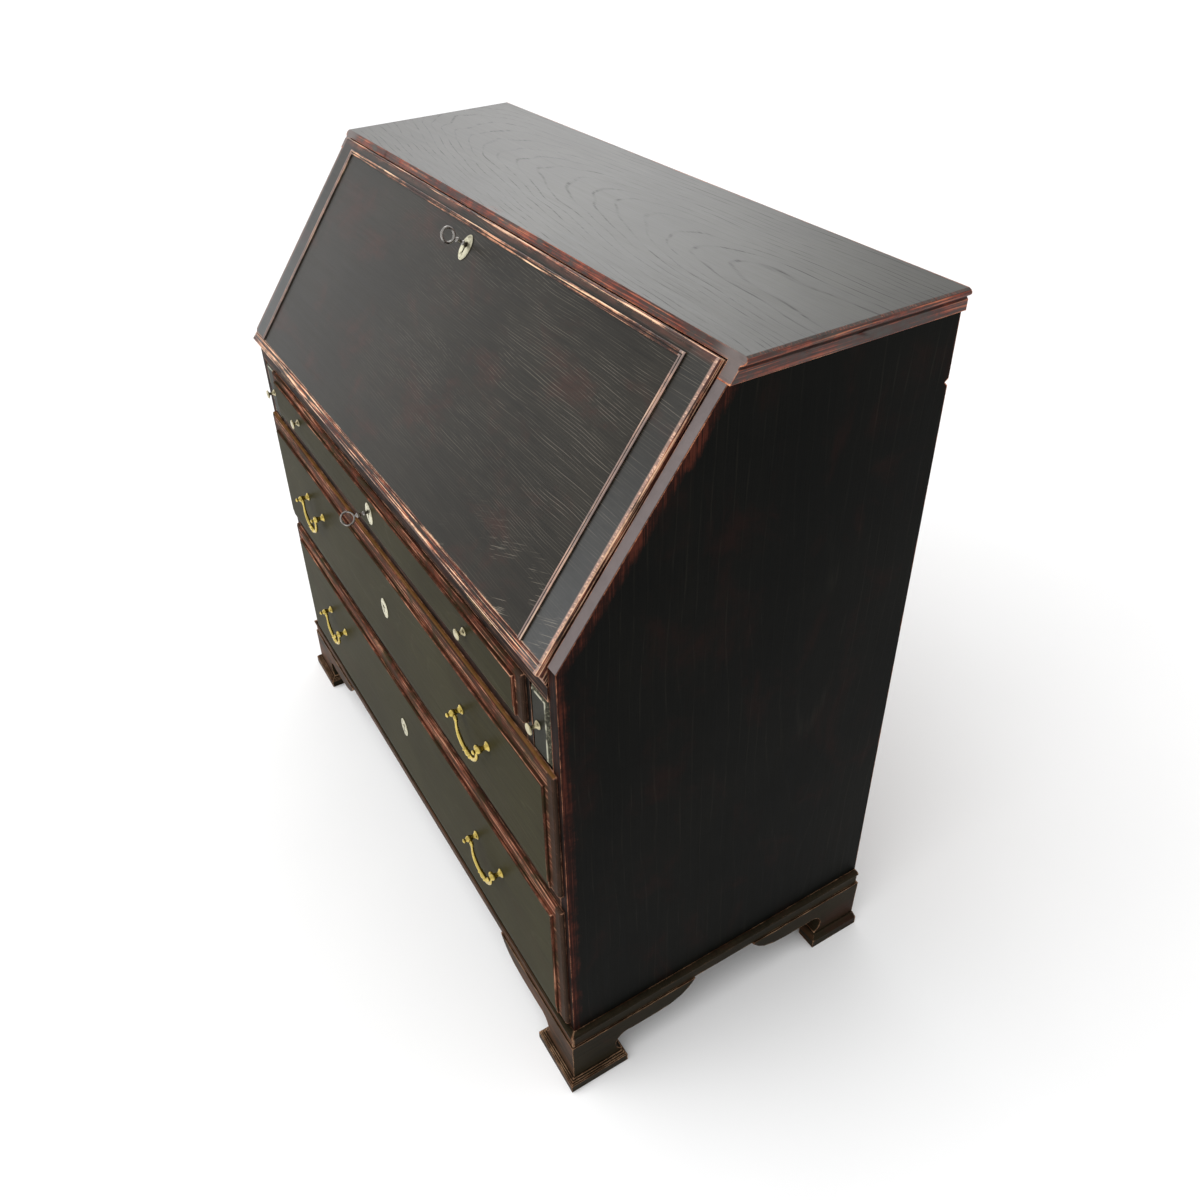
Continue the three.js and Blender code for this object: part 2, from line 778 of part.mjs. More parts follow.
function bail() {
  const arm = [
    [HANDLE_HALF - 2.2, 0, 1.4],
    [HANDLE_HALF - 5.6, 0, 1.4],
    [HANDLE_HALF - 5.7, 0, 2.4],
    [HANDLE_HALF - 7.6, -1.2, 2.9],
    [HANDLE_HALF - 8.8, -4.5, 2.6],
    [HANDLE_HALF - 8.6, -9, 2.1],
    [HANDLE_HALF - 8.2, -15, 2.2],
    [HANDLE_HALF - 9.6, -22, 2.5],
    [HANDLE_HALF - 14, -29, 2.9],
    [HANDLE_HALF - 21, -34.5, 3],
    [HANDLE_HALF - 27.5, -36.6, 3.3],
    [HANDLE_HALF - 29, -37, 4.1],
    [HANDLE_HALF - 30.4, -37.2, 3.2],
    [3, -37.6, 3.4],
  ];
  const left = arm.map(([x, z, r]) => [-x, z, r]);
  return bar([...left, [0, -37.7, 3.6], ...arm.reverse()], 10);
}

function addHandle(prefix, side, x, z) {
  const face = -FIELD_PROUD;
  for (const [tag, end] of [
    ["inner", -side],
    ["outer", side],
  ]) {
    const post = handlePost(end).translate(x + end * HANDLE_HALF, face, z);
    add(`${prefix}_post_${side > 0 ? "right" : "left"}_${tag}`, post, BRASS);
  }
  const hung = bail().translate(x, face - BAIL_STAND, z);
  add(`${prefix}_bail_${side > 0 ? "right" : "left"}`, hung, BRASS);
}

const KEY_1_Z = 648;
const KEY_2_Z = 486;
const KEY_3_Z = 249;
const boxHeadroom = LIP_LAP + 0.5;

add("drawer_1_front", drawerFront(NARROW, DRAWER_1, KEY_1_Z), OAK);
add("drawer_2_front", drawerFront(WIDE, DRAWER_2, KEY_2_Z), OAK);
add("drawer_3_front", drawerFront(WIDE, DRAWER_3, KEY_3_Z), OAK);
add(
  "drawer_1_box",
  drawerBox(NARROW.box, DRAWER_1.bottom + 0.3, DRAWER_1.top - boxHeadroom),
  INNER_OAK,
);
add(
  "drawer_2_box",
  drawerBox(WIDE.box, DRAWER_2.bottom + 0.3, DRAWER_2.top - boxHeadroom - 4),
  INNER_OAK,
);
add(
  "drawer_3_box",
  drawerBox(WIDE.box, DRAWER_3.bottom + 0.3, DRAWER_3.top - boxHeadroom - 4),
  INNER_OAK,
);
for (const [number, z] of [
  [1, KEY_1_Z],
  [2, KEY_2_Z],
  [3, KEY_3_Z],
]) {
  add(`drawer_${number}_escutcheon`, facing(escutcheon(), 0, -FIELD_PROUD, z), BRASS);
}
const drawerKnob = discKnob(DRAWER_KNOB).translate(DRAWER_KNOB.x, -FIELD_PROUD, KEY_1_Z);
addPair("drawer_1_knob", drawerKnob, BRASS);
for (const side of [-1, 1]) {
  addHandle("drawer_2", side, side * HANDLE_X, HANDLE_2_Z);
  addHandle("drawer_3", side, side * HANDLE_X, HANDLE_3_Z);
}

// lock on the inside of drawer 1's front, and its key
const LOCK_1_T = 9;
const lock1 = box(-32, 32, FRONT_T, FRONT_T + LOCK_1_T, KEY_1_Z - 22, DRAWER_1.top - LIP_LAP - 0.5);
const lock1Eye = facing(roundHole(7, -FRONT_T - LOCK_1_T + 2, 0), 0, 0, KEY_1_Z);
add("drawer_1_lock", cut(lock1, lock1Eye), STEEL);
const KEY_1_TURN = (-52 * Math.PI) / 180;
const key1 = key(FIELD_PROUD + FRONT_T + 5, 30, KEY_1_TURN);
add("drawer_1_key", facing(key1, 0, -FIELD_PROUD, KEY_1_Z), STEEL);

// ---------------------------------------------------------------- the fall
// Made with Y running up the slope and Z standing out of it, then set on the slope.
const LOW = AXIS_T;
const fallBody = stackZ([
  [FALL_BACK, -FALL_HALF, FALL_HALF, LOW + 0.6, FALL_TOP],
  [FALL_BACK + 10, -FALL_HALF, FALL_HALF, LOW + 7.5, FALL_TOP],
  [FALL_BACK + 16, -FALL_HALF, FALL_HALF, LOW + 8.5, FALL_TOP],
  [FALL_OUT - 2.8, -FALL_HALF, FALL_HALF, LOW + 8.6, FALL_TOP],
  [FALL_OUT - 1, -FALL_HALF + 0.9, FALL_HALF - 0.9, LOW + 9.2, FALL_TOP - 0.9],
  [FALL_OUT, -FALL_HALF + 3, FALL_HALF - 3, LOW + 10.8, FALL_TOP - 3],
]);
const lowerMoulding = alongX(
  [
    [0.5, FALL_OUT + 1],
    [0.5, FALL_OUT - 1.6],
    [-1.2, FALL_OUT - 2],
    [-2.2, FALL_OUT - 1.2],
    [-3.6, FALL_OUT - 0.8],
    [-4.8, FALL_OUT - 1.5],
    [-6.6, FALL_OUT - 1.5],
    [-9, FALL_OUT - 0.7],
    [-10.4, FALL_OUT],
    [-10.4, FALL_OUT + 1],
  ],
  -FALL_HALF - 1,
  FALL_HALF + 1,
);
const KEY_T = 298;
const lockMortise = box(
  LOCK.x - LOCK.half - FIT,
  LOCK.x + LOCK.half + FIT,
  LOCK.low - FIT,
  FALL_TOP + 1,
  FALL_BACK - 1,
  FALL_BACK + LOCK.t + FIT,
);
const fallGroove = (x) =>
  roundHole(KNUCKLE_R + 0.5, -HINGE_LEAF.half - FIT, HINGE_LEAF.half + FIT)
    .rotateY(Math.PI / 2)
    .translate(x, AXIS_T, FALL_BACK);
const fallSeat = (x) =>
  box(
    x - HINGE_LEAF.half - FIT,
    x + HINGE_LEAF.half + FIT,
    AXIS_T - 1,
    AXIS_T + HINGE_LEAF.depth + FIT,
    FALL_BACK - 1,
    FALL_BACK + HINGE_LEAF.t + FIT,
  );
add(
  "fall_board",
  slopeFrame(
    cut(
      fallBody,
      lowerMoulding,
      lockMortise,
      keyhole(-20, 20).translate(LOCK.x, KEY_T, 0),
      ...[HINGE_X, -HINGE_X].flatMap((x) => [fallGroove(x), fallSeat(x)]),
    ),
  ),
  OAK,
);

// double bead round three sides of the panel, mitred at its upper corners
const BEAD = { half: 432, top: 324.5, low: 0.8 };
const beadSection = [
  [0, 0],
  [0, 1.4],
  [0.9, 2.4],
  [2.3, 2.4],
  [3.2, 1.3],
  [3.9, 1.3],
  [4.7, 2.1],
  [6, 2.1],
  [7, 0.9],
  [7, 0],
];
const beadAt = (x, inwards, t, downwards) =>
  beadSection.map(([w, h]) => [x + inwards * w, t - downwards * w, FALL_OUT + FIT + h]);
add(
  "fall_bead",
  slopeFrame(
    loft([
      beadAt(-BEAD.half, 1, BEAD.low, 0),
      beadAt(-BEAD.half, 1, BEAD.top, 1),
      beadAt(BEAD.half, -1, BEAD.top, 1),
      beadAt(BEAD.half, -1, BEAD.low, 0),
    ]),
  ),
  OAK,
);
add(
  "fall_escutcheon",
  slopeFrame(escutcheon().translate(LOCK.x, KEY_T, FALL_OUT + FIT)),
  BRASS,
);

const BOLT = { half: 12, low: 314, high: 335.8, back: FALL_BACK + 1.6, t: 3.2 };
const lockCase = box(
  LOCK.x - LOCK.half,
  LOCK.x + LOCK.half,
  LOCK.low,
  FALL_TOP - 0.3,
  FALL_BACK,
  FALL_BACK + LOCK.t,
);
const boltWay = box(
  LOCK.x - BOLT.half - FIT,
  LOCK.x + BOLT.half + FIT,
  BOLT.low - 2,
  FALL_TOP + 1,
  BOLT.back - FIT,
  BOLT.back + BOLT.t + FIT,
);
const lockEye = roundHole(7.5, FALL_BACK + LOCK.t - 5, FALL_BACK + LOCK.t + 1);
lockEye.translate(LOCK.x, KEY_T, 0);
add("fall_lock", slopeFrame(cut(lockCase, boltWay, lockEye)), STEEL);
add(
  "fall_bolt",
  slopeFrame(
    box(
      LOCK.x - BOLT.half,
      LOCK.x + BOLT.half,
      BOLT.low,
      BOLT.high,
      BOLT.back,
      BOLT.back + BOLT.t,
    ),
  ),
  STEEL,
);
const FALL_KEY_TURN = (-73 * Math.PI) / 180;
const keyDepth = FALL_OUT - FALL_BACK - LOCK.t + 4.5;
add(
  "fall_key",
  slopeFrame(key(keyDepth, 30, FALL_KEY_TURN).translate(LOCK.x, KEY_T, FALL_OUT)),
  STEEL,
);

// ---------------------------------------------------------------- butt hinges
const barrel = (x0, x1) => roundHole(KNUCKLE_R, x0, x1).rotateY(Math.PI / 2);
const clearBarrel = (x0, x1) => roundHole(KNUCKLE_R + 0.5, x0, x1).rotateY(Math.PI / 2);
function caseLeaf() {
  const { half, middle, depth, t } = HINGE_LEAF;
  const plate = box(-half, half, 0, depth, -t, 0);
  const cleared = cut(plate, clearBarrel(-half - 1, -middle), clearBarrel(middle, half + 1));
  return join(cleared, barrel(-middle + FIT, middle - FIT));
}
function fallLeaf() {
  const { half, middle, depth, t } = HINGE_LEAF;
  const plate = box(-half, half, 0, depth, 0, t);
  const cleared = cut(plate, clearBarrel(-middle, middle));
  return join(cleared, barrel(-half, -middle - FIT), barrel(middle + FIT, half));
}
for (const [tag, x] of [
  ["right", HINGE_X],
  ["left", -HINGE_X],
]) {
  add(`hinge_case_leaf_${tag}`, caseLeaf().translate(x, AXIS_Y, WRITING_Z), BRASS);
  add(`hinge_fall_leaf_${tag}`, slopeFrame(fallLeaf().translate(x, AXIS_T, FALL_BACK)), BRASS);
}

// the origin stands on the floor, under the middle of the desk's overall box
const overall = new THREE.Box3().setFromObject(desk);
desk.position.set(0, -(overall.min.y + overall.max.y) / 2, 0);

export default desk;
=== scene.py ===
"""The looks of the slant-front secretary desk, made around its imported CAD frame.

Metres, +Z up, the front faces -Y, and X runs to the right of someone facing the front.
"""

import json
import math

import bpy
from mathutils import Matrix, Vector


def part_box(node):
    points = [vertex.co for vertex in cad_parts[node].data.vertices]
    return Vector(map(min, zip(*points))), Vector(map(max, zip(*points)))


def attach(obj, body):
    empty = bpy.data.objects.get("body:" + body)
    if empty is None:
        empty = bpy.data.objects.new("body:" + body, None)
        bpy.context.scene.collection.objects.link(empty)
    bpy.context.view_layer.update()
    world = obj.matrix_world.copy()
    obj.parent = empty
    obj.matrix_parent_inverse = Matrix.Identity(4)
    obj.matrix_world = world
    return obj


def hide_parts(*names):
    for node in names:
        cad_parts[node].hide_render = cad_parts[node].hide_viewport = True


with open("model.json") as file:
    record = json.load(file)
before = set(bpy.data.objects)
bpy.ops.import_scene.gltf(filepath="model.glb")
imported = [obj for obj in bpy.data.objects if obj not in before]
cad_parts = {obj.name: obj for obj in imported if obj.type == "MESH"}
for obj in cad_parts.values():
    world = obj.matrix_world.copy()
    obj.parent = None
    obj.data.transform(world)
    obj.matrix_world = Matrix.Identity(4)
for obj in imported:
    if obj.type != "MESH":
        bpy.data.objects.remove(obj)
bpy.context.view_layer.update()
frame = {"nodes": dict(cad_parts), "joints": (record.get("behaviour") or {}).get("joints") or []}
NODES = frame["nodes"]
JOINTS = {j["name"]: j for j in frame["joints"]}
MM = 0.001
SIDES = {"left": -1, "right": 1}
X, Y, Z = Vector((1, 0, 0)), Vector((0, 1, 0)), Vector((0, 0, 1))

# the slant: OUT stands out of the closed fall, UP runs up it
OUT = Vector(JOINTS["fall_key_turn"]["axis"]).normalized()
UP = Vector((0, OUT.z, -OUT.y))


# ---------------------------------------------------------------- shader nodes
def rgb(red, green, blue):
    """A colour given in screen values from 0 to 255, as the linear RGBA that shaders take."""

    def linear(v):
        v /= 255
        return v / 12.92 if v <= 0.04045 else ((v + 0.055) / 1.055) ** 2.4

    return (linear(red), linear(green), linear(blue), 1.0)


WHITE = (1, 1, 1, 1)


class Shader:
    """One material with a Principled shader, and short calls that add nodes to it."""

    def __init__(self, name):
        self.material = bpy.data.materials.new(name)
        self.material.use_nodes = True
        self.tree = self.material.node_tree
        self.tree.nodes.clear()
        self.surface = self.tree.nodes.new("ShaderNodeBsdfPrincipled")
        out = self.tree.nodes.new("ShaderNodeOutputMaterial")
        self.tree.links.new(self.surface.outputs[0], out.inputs["Surface"])
        here = self.tree.nodes.new("ShaderNodeTexCoord").outputs
        self.place = here["Object"]
        self.facing = here["Normal"]
        self.normal = None

    def put(self, socket, value):
        if isinstance(value, bpy.types.NodeSocket):
            self.tree.links.new(value, socket)
        else:
            socket.default_value = value

    def node(self, kind, values=(), **settings):
        made = self.tree.nodes.new(kind)
        for key, value in settings.items():
            setattr(made, key, value)
        for key, value in dict(values).items():
            self.put(made.inputs[key], value)
        return made

    def finish(self, **values):
        for key, value in values.items():
            self.put(self.surface.inputs[key.replace("_", " ")], value)
        return self.material

    def math(self, operation, a, b=0.0, clamp=False):
        made = self.node("ShaderNodeMath", {0: a, 1: b}, operation=operation, use_clamp=clamp)
        return made.outputs[0]

    def add(self, *terms):
        total = terms[0]
        for term in terms[1:]:
            total = self.math("ADD", total, term)
        return total

    def times(self, *factors):
        product = factors[0]
        for factor in factors[1:]:
            product = self.math("MULTIPLY", product, factor)
        return product

    def swing(self, value, amount):
        """A noise value turned into a swing of that amount about 0."""
        return self.times(self.math("SUBTRACT", value, 0.5), amount)

    def step(self, value, low, high, to_low=0.0, to_high=1.0):
        """A smooth step: to_low up to low, to_high from high on."""
        ends = {"From Min": low, "From Max": high, "To Min": to_low, "To Max": to_high}
        made = self.node(
            "ShaderNodeMapRange",
            {"Value": value, **ends},
            interpolation_type="SMOOTHSTEP",
        )
        return made.outputs[0]

    def blend(self, share, a, b, blend_type="MIX"):
        made = self.node(
            "ShaderNodeMix",
            {0: share, 6: a, 7: b},
            data_type="RGBA",
            blend_type=blend_type,
            clamp_factor=True,
        )
        return made.outputs[2]

    def darken(self, colour, amount):
        return self.blend(1.0, colour, amount, "MULTIPLY")

    def dot(self, vector, direction):
        made = self.node("ShaderNodeVectorMath", {0: vector, 1: direction}, operation="DOT_PRODUCT")
        return made.outputs["Value"]

    def apart(self, vector):
        return self.node("ShaderNodeSeparateXYZ", {0: vector}).outputs

    def joined(self, *parts):
        return self.node("ShaderNodeCombineXYZ", dict(enumerate(parts))).outputs[0]

    def scaled(self, vector, scale, offset=(0, 0, 0)):
        made = self.node(
            "ShaderNodeMapping", {"Vector": vector, "Location": offset, "Scale": scale}
        )
        return made.outputs[0]

    def noise(self, vector, scale=1.0, detail=2.0, roughness=0.5, distortion=0.0):
        made = self.node(
            "ShaderNodeTexNoise",
            {
                "Vector": vector,
                "Scale": scale,
                "Detail": detail,
                "Roughness": roughness,
                "Distortion": distortion,
            },
        )
        return made.outputs[0]

    def near_edges(self, reach):
        """About 1 on an outer edge, falling to 0 at reach from it."""
        made = self.node(
            "ShaderNodeAmbientOcclusion",
            {"Distance": reach},
            inside=True,
            only_local=True,
            samples=6,
        )
        return self.math("SUBTRACT", 2.0, self.times(made.outputs["AO"], 2.0), clamp=True)

    def open_air(self, reach):
        """1 in the open, less in corners and gaps narrower than reach."""
        made = self.node("ShaderNodeAmbientOcclusion", {"Distance": reach}, samples=4)
        return made.outputs["AO"]

    def soft_edges(self, radius):
        return self.node("ShaderNodeBevel", {"Radius": radius}, samples=4).outputs[0]

    def bump(self, height, distance, strength=1.0):
        values = {"Height": height, "Distance": distance, "Strength": strength}
        if self.normal is not None:
            values["Normal"] = self.normal
        self.normal = self.node("ShaderNodeBump", values).outputs[0]


# ---------------------------------------------------------------- oak
def laid(along, across, deep, centre):
    """How a board lies in its log: a plan that gives (along, across, deep) from its centre."""

    def plan(s):
        place = s.scaled(s.place, (1, 1, 1), -Vector(centre))
        return s.joined(s.dot(place, along), s.dot(place, across), s.dot(place, deep))

    return plan


def either(choose, first, second):
    """A plan that follows first where choose gives 0 and second where it gives 1."""

    def plan(s):
        values = {0: choose(s), 4: first(s), 5: second(s)}
        return s.node("ShaderNodeMix", values, data_type="VECTOR").outputs[1]

    return plan


def facing(*ways, low=0.86, high=0.95):
    """1 on faces that look one of these ways, 0 on the others."""

    def share(s):
        found = 0.0
        for way in ways:
            found = s.math("MAXIMUM", found, s.step(s.dot(s.facing, way), low, high))
        return found

    return share


def facing_side(s):
    """1 on faces that look left or right."""
    return s.math("GREATER_THAN", s.math("ABSOLUTE", s.dot(s.facing, X)), 0.6)


def everywhere(s):
    return 1.0


# how fine each noise of the wood is, per metre: (along the grain, across it, through the board)
DRIFT = (1.6, 5.0, 5.0)
PORES = (14, 620, 620)
FIBRE = (5, 170, 170)
BLOTS = (9, 15, 15)
RING_GAPS = (11, 90, 90)
BREAKS = (40, 260, 260)
HAIRS = (9, 560, 560)
CLOUDS = 5.5
WEAR_PATCHES = 30
SCRATCHES = (26, 900)  # along a scratch and across it
SCRATCH_TILT = 0.4
SCRATCH_CLUSTERS = 20
DARK_PORE = (0.7, 0.7, 0.7, 1)
UNEVEN_TINT = (0.5, 0.5, 0.5, 1)
# painted shade with some grime: the tone laid in corners and gaps between parts, and how far it
# reaches
CREVICE_SHADE_AND_GRIME = (0.25, 0.23, 0.21, 1)
CREVICE_SHADE_REACH = 12 * MM
EASED = 1.3 * MM  # how far the arrises are rounded in the shading
PORE_DEPTH = 0.2 * MM


def oak(
    name,
    plan,
    heart=(0.0, -0.1),
    tilt=0.1,
    bow=0.0,
    swing=0.0,
    pitch=0.0065,
    seed=0.0,
    dark=rgb(26, 24, 21),
    light=rgb(52, 49, 43),
    stain=rgb(62, 30, 24),
    stained=0.4,
    lines=0.0,
    line_tone=rgb(110, 104, 94),
    lines_where=everywhere,
    lines_matt=0.0,
    kept=everywhere,
    edge=0.008,
    near_by=None,
    arris_reach=2.6 * MM,
    wear=0.5,
    ragged=0.6,
    handled=everywhere,
    moulded=0.5,
    worn=rgb(70, 26, 20),
    rust=rgb(150, 72, 46),
    rubbed=rgb(226, 172, 138),
    threads=0.4,
    threads_from=0.58,
    arris=0.7,
    patchy=0.9,
    scratched=None,
    shine=0.4,
    gloss=0.3,
    tinted=(),
):
    """Stained oak sawn from a log, rubbed at its edges.

    heart is where the log's middle passes the board's centre, (across, deep). The middle
    comes nearer by tilt per metre along the grain, bends away by bow, and is turned by
    swing in the board's plane. pitch is the width of a year ring. lines is how strongly the
    rings show in line_tone where lines_where gives 1, and lines_matt how much less they
    shine. Where kept gives 1 the finish is whole but for a band of width edge, or where
    near_by gives more than 0, rubbed by wear where handled gives 1 and ragged along the
    grain; elsewhere moulded is how much of it is rubbed away. threads is how strongly the
    rubbed parts show pale streaks, which are wider as threads_from is lower. The arrises
    are bare to a width of arris_reach, arris is how bare and patchy how unevenly. scratched
    gives how much the face is scratched. tinted holds a (share, colour) pair for each part
    in a tone of its own.
    """
    s = Shader(name)
    lie = plan(s)
    moved = s.scaled(lie, (1, 1, 1), (seed, seed * 0.7, seed * 1.3))
    along, across, deep = s.apart(lie)

    # year rings round a heart that wanders along the grain
    slow = s.node(
        "ShaderNodeTexNoise",
        {"Vector": s.scaled(moved, DRIFT), "Scale": 1.0, "Detail": 3.0},
    ).outputs
    drift = s.node("ShaderNodeSeparateColor", {0: slow[1]}).outputs
    cos, sin = math.cos(swing), math.sin(swing)
    run = s.math("SUBTRACT", s.times(along, cos), s.times(across, sin))
    off = s.add(s.times(along, sin), s.times(across, cos), -heart[0], s.swing(drift[0], 0.06))
    bend = s.add(s.times(run, -tilt), s.times(run, run, bow))
    down = s.add(deep, -heart[1], bend, s.swing(drift[1], 0.05))
    radius = s.math("SQRT", s.add(s.times(off, off), s.times(down, down)))
    year = s.math("FRACT", s.add(s.math("DIVIDE", radius, pitch), s.times(drift[2], 4.0)))
    ring = s.step(s.math("ABSOLUTE", s.math("SUBTRACT", year, 0.5)), 0.39, 0.49)

    # pores drawn out along the grain, and fine fibre
    pores = s.noise(s.scaled(moved, PORES), detail=2, roughness=0.6)
    fibre = s.noise(s.scaled(moved, FIBRE), detail=3, roughness=0.65)
    cloud = s.noise(moved, scale=CLOUDS, detail=4, roughness=0.6)
    blot = s.noise(s.scaled(moved, BLOTS), detail=6, roughness=0.66, distortion=0.4)

    tone = s.add(s.step(fibre, 0.3, 0.7, 0.0, 0.3), s.step(cloud, 0.3, 0.72, 0.0, 0.5))
    tone = s.add(tone, s.times(s.step(pores, 0.4, 0.62), 0.2))
    colour = s.blend(tone, dark, light)
    colour = s.blend(s.times(s.step(blot, 0.5, 0.74), stained), colour, stain)
    gaps = s.noise(s.scaled(moved, RING_GAPS), detail=3, roughness=0.6)
    drawn = s.times(ring, s.step(pores, 0.36, 0.56), s.step(cloud, 0.36, 0.56, 0.35, 1.0))
    drawn = s.times(drawn, s.step(gaps, 0.4, 0.6, 0.15, 1.0), lines_where(s), lines)
    colour = s.blend(drawn, colour, line_tone)
    colour = s.darken(colour, s.blend(s.step(pores, 0.28, 0.4), DARK_PORE, WHITE))

    # a few short scratches askew to the grain, in clusters
    if scratched:
        askew = s.times(s.add(along, s.times(across, SCRATCH_TILT)), SCRATCHES[0])
        beside = s.times(s.add(across, s.times(along, -SCRATCH_TILT)), SCRATCHES[1])
        thin = s.step(s.noise(s.joined(askew, beside, seed), detail=0), 0.66, 0.72)
        few = s.step(s.noise(moved, scale=SCRATCH_CLUSTERS, detail=2), 0.46, 0.56)
        colour = s.blend(s.times(thin, few, scratched(s)), colour, line_tone)

    # the finish rubbed off mouldings and edges, and the arrises rubbed bare
    whole = kept(s)
    near = near_by(s) if near_by else s.near_edges(edge)
    fine = s.near_edges(arris_reach)
    patch = s.noise(moved, scale=WEAR_PATCHES, detail=6, roughness=0.72)
    broken = s.noise(s.scaled(moved, BREAKS), detail=3, roughness=0.7)
    hair = s.noise(s.scaled(moved, HAIRS), detail=2, roughness=0.55)
    band = s.add(near, s.swing(patch, 1.0), s.swing(broken, ragged))
    band = s.step(band, 1.15 - 0.75 * wear, 1.6 - 0.75 * wear)
    band = s.times(band, s.step(near, 0.04, 0.5), handled(s))
    away = s.times(s.step(s.add(patch, s.swing(broken, 0.5)), 0.24, 0.6), moulded)
    rub = s.add(s.times(band, whole), s.times(away, s.math("SUBTRACT", 1.0, whole)))
    rust_share = s.step(s.add(s.times(hair, 0.6), s.times(patch, 0.4)), 0.46, 0.6)
    colour = s.blend(s.times(rub, 0.92), colour, s.blend(rust_share, worn, rust))
    thread = s.times(s.step(hair, threads_from, threads_from + 0.1), rub, threads)
    colour = s.blend(thread, colour, rubbed)
    # parts in a colour of their own, some of them painted sheens, reflections and highlights
    for share, tint in tinted:
        uneven = s.darken(tint, s.blend(patch, UNEVEN_TINT, WHITE))
        colour = s.blend(share(s), colour, uneven)
    bare = s.add(fine, s.swing(broken, patchy), s.swing(patch, patchy))
    bare = s.times(s.step(bare, 0.62, 0.98), s.step(fine, 0.1, 0.4), arris)
    colour = s.blend(bare, colour, s.blend(s.step(patch, 0.4, 0.6), rust, rubbed))
    # painted shade, with some grime: darker in corners, creases and narrow gaps between parts
    crevice_shade = s.step(s.open_air(CREVICE_SHADE_REACH), 0.15, 0.75)
    colour = s.darken(colour, s.blend(crevice_shade, CREVICE_SHADE_AND_GRIME, WHITE))

    rough = s.add(shine, s.swing(fibre, 0.14), s.times(rub, 0.08))
    s.normal = s.soft_edges(EASED)
    s.bump(s.add(s.times(ring, 0.3), s.times(pores, 0.7)), PORE_DEPTH, 0.45)
    if lines_matt:
        gloss = s.times(s.math("SUBTRACT", 1.0, s.times(drawn, lines_matt)), gloss)
    s.put(s.surface.inputs["Specular IOR Level"], gloss)
    return s.finish(Base_Color=colour, Roughness=rough, Normal=s.normal)


# ---------------------------------------------------------------- metal
def metal(name, bright, dull, shine, spots=0.35):
    """Handled metal: bright where it is rubbed, dull in its hollows and in soft patches."""
    s = Shader(name)
    patch = s.noise(s.place, scale=140, detail=4, roughness=0.6)
    fine = s.noise(s.place, scale=900, detail=2)
    hollow = s.step(s.open_air(0.006), 0.35, 0.9)
    tarnish = s.add(s.step(patch, 0.45, 0.75, 0.0, spots), s.math("SUBTRACT", 1.0, hollow))
    colour = s.blend(tarnish, bright, dull)
    rough = s.add(shine, s.times(tarnish, 0.22), s.times(fine, 0.08))
    s.normal = s.soft_edges(0.5 * MM)
    s.bump(fine, 0.04 * MM, 0.4)
    s.surface.inputs["Metallic"].default_value = 1.0
    return s.finish(Base_Color=colour, Roughness=rough, Normal=s.normal)


BRASS = metal("brass_polished", rgb(214, 190, 104), rgb(96, 78, 34), 0.2)
NICKEL = metal("brass_pale", rgb(196, 186, 150), rgb(70, 62, 42), 0.24, spots=0.6)
PLATE = metal("brass_worn", rgb(216, 212, 186), rgb(96, 84, 56), 0.32, spots=0.8)
STEEL = metal("steel_handled", rgb(158, 154, 150), rgb(44, 40, 38), 0.22, spots=0.6)
LOCK_STEEL = metal("steel_dull", rgb(112, 108, 104), rgb(52, 46, 42), 0.42, spots=0.7)
HIDDEN_BRASS = metal("brass_dark", rgb(104, 84, 48), rgb(40, 32, 22), 0.4, spots=0.9)


# ---------------------------------------------------------------- fittings
def rounded(points, rounds=2):
    """A line with its corners cut again and again, both ends kept."""
    points = [Vector(p) for p in points]
    for _ in range(rounds):
        cut = [points[0]]
        for a, b in zip(points, points[1:]):
            cut += [a.lerp(b, 0.25), a.lerp(b, 0.75)]
        points = cut + [points[-1]]
    return points


def skin(rings, closed=False):
    """Points and faces of a skin over rings of equal length, capped unless it is closed."""
    count = len(rings[0])
    points = [p for ring in rings for p in ring]
    pairs = [(k, k + 1) for k in range(len(rings) - 1)]
    if closed:
        pairs.append((len(rings) - 1, 0))
    faces = [
        (a * count + i, a * count + (i + 1) % count, b * count + (i + 1) % count, b * count + i)
        for a, b in pairs
        for i in range(count)
    ]
    if not closed:
        faces.append(tuple(reversed(range(count))))
        faces.append(tuple(range(len(points) - count, len(points))))
    return points, faces


def circle(count):
    return [
        (math.cos(math.tau * i / count), math.sin(math.tau * i / count)) for i in range(count)
    ]


def turned(profile, count=40, rounds=2):
    """A piece turned round +Z, from (radius, height) points."""
    return skin(
        [[Vector((c * r, s * r, h)) for c, s in circle(count)] for r, h in rounded(profile, rounds)]
    )


def swept(path, count=16, closed=False):
    """A round bar along (x, z, radius) points in the XZ plane."""
    rings = []
    for i, (x, z, radius) in enumerate(path):
        last = len(path) - 1
        before = path[i - 1] if closed or i else path[0]
        after = path[(i + 1) % len(path)] if closed or i < last else path[last]
        along = Vector((after[0] - before[0], 0, after[1] - before[1])).normalized()
        out = Y.cross(along)
        at = Vector((x, 0, z))
        rings.append([at + (out * c + Y * s) * radius for c, s in circle(count)])
    return skin(rings, closed)


def fitting(name, shells, place, material, body, stands_for):
    """One smooth mesh of several shells in millimetres, put in place and set on its body."""
    points, faces = [], []
    for some_points, some_faces in shells:
        start = len(points)
        points += some_points
        faces += [tuple(start + i for i in face) for face in some_faces]
    mesh = bpy.data.meshes.new(name)
    mesh.from_pydata(points, [], faces)
    mesh.transform(place @ Matrix.Scale(MM, 4))
    mesh.shade_smooth()
    mesh.materials.append(material)
    made = bpy.data.objects.new(name, mesh)
    bpy.context.scene.collection.objects.link(made)
    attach(made, body)
    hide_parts(stands_for)
    return made


def on_front(point):
    """Turns a piece made facing +Z to face the front, at a point."""
    return Matrix.Translation(point) @ Matrix.Rotation(math.pi / 2, 4, "X")


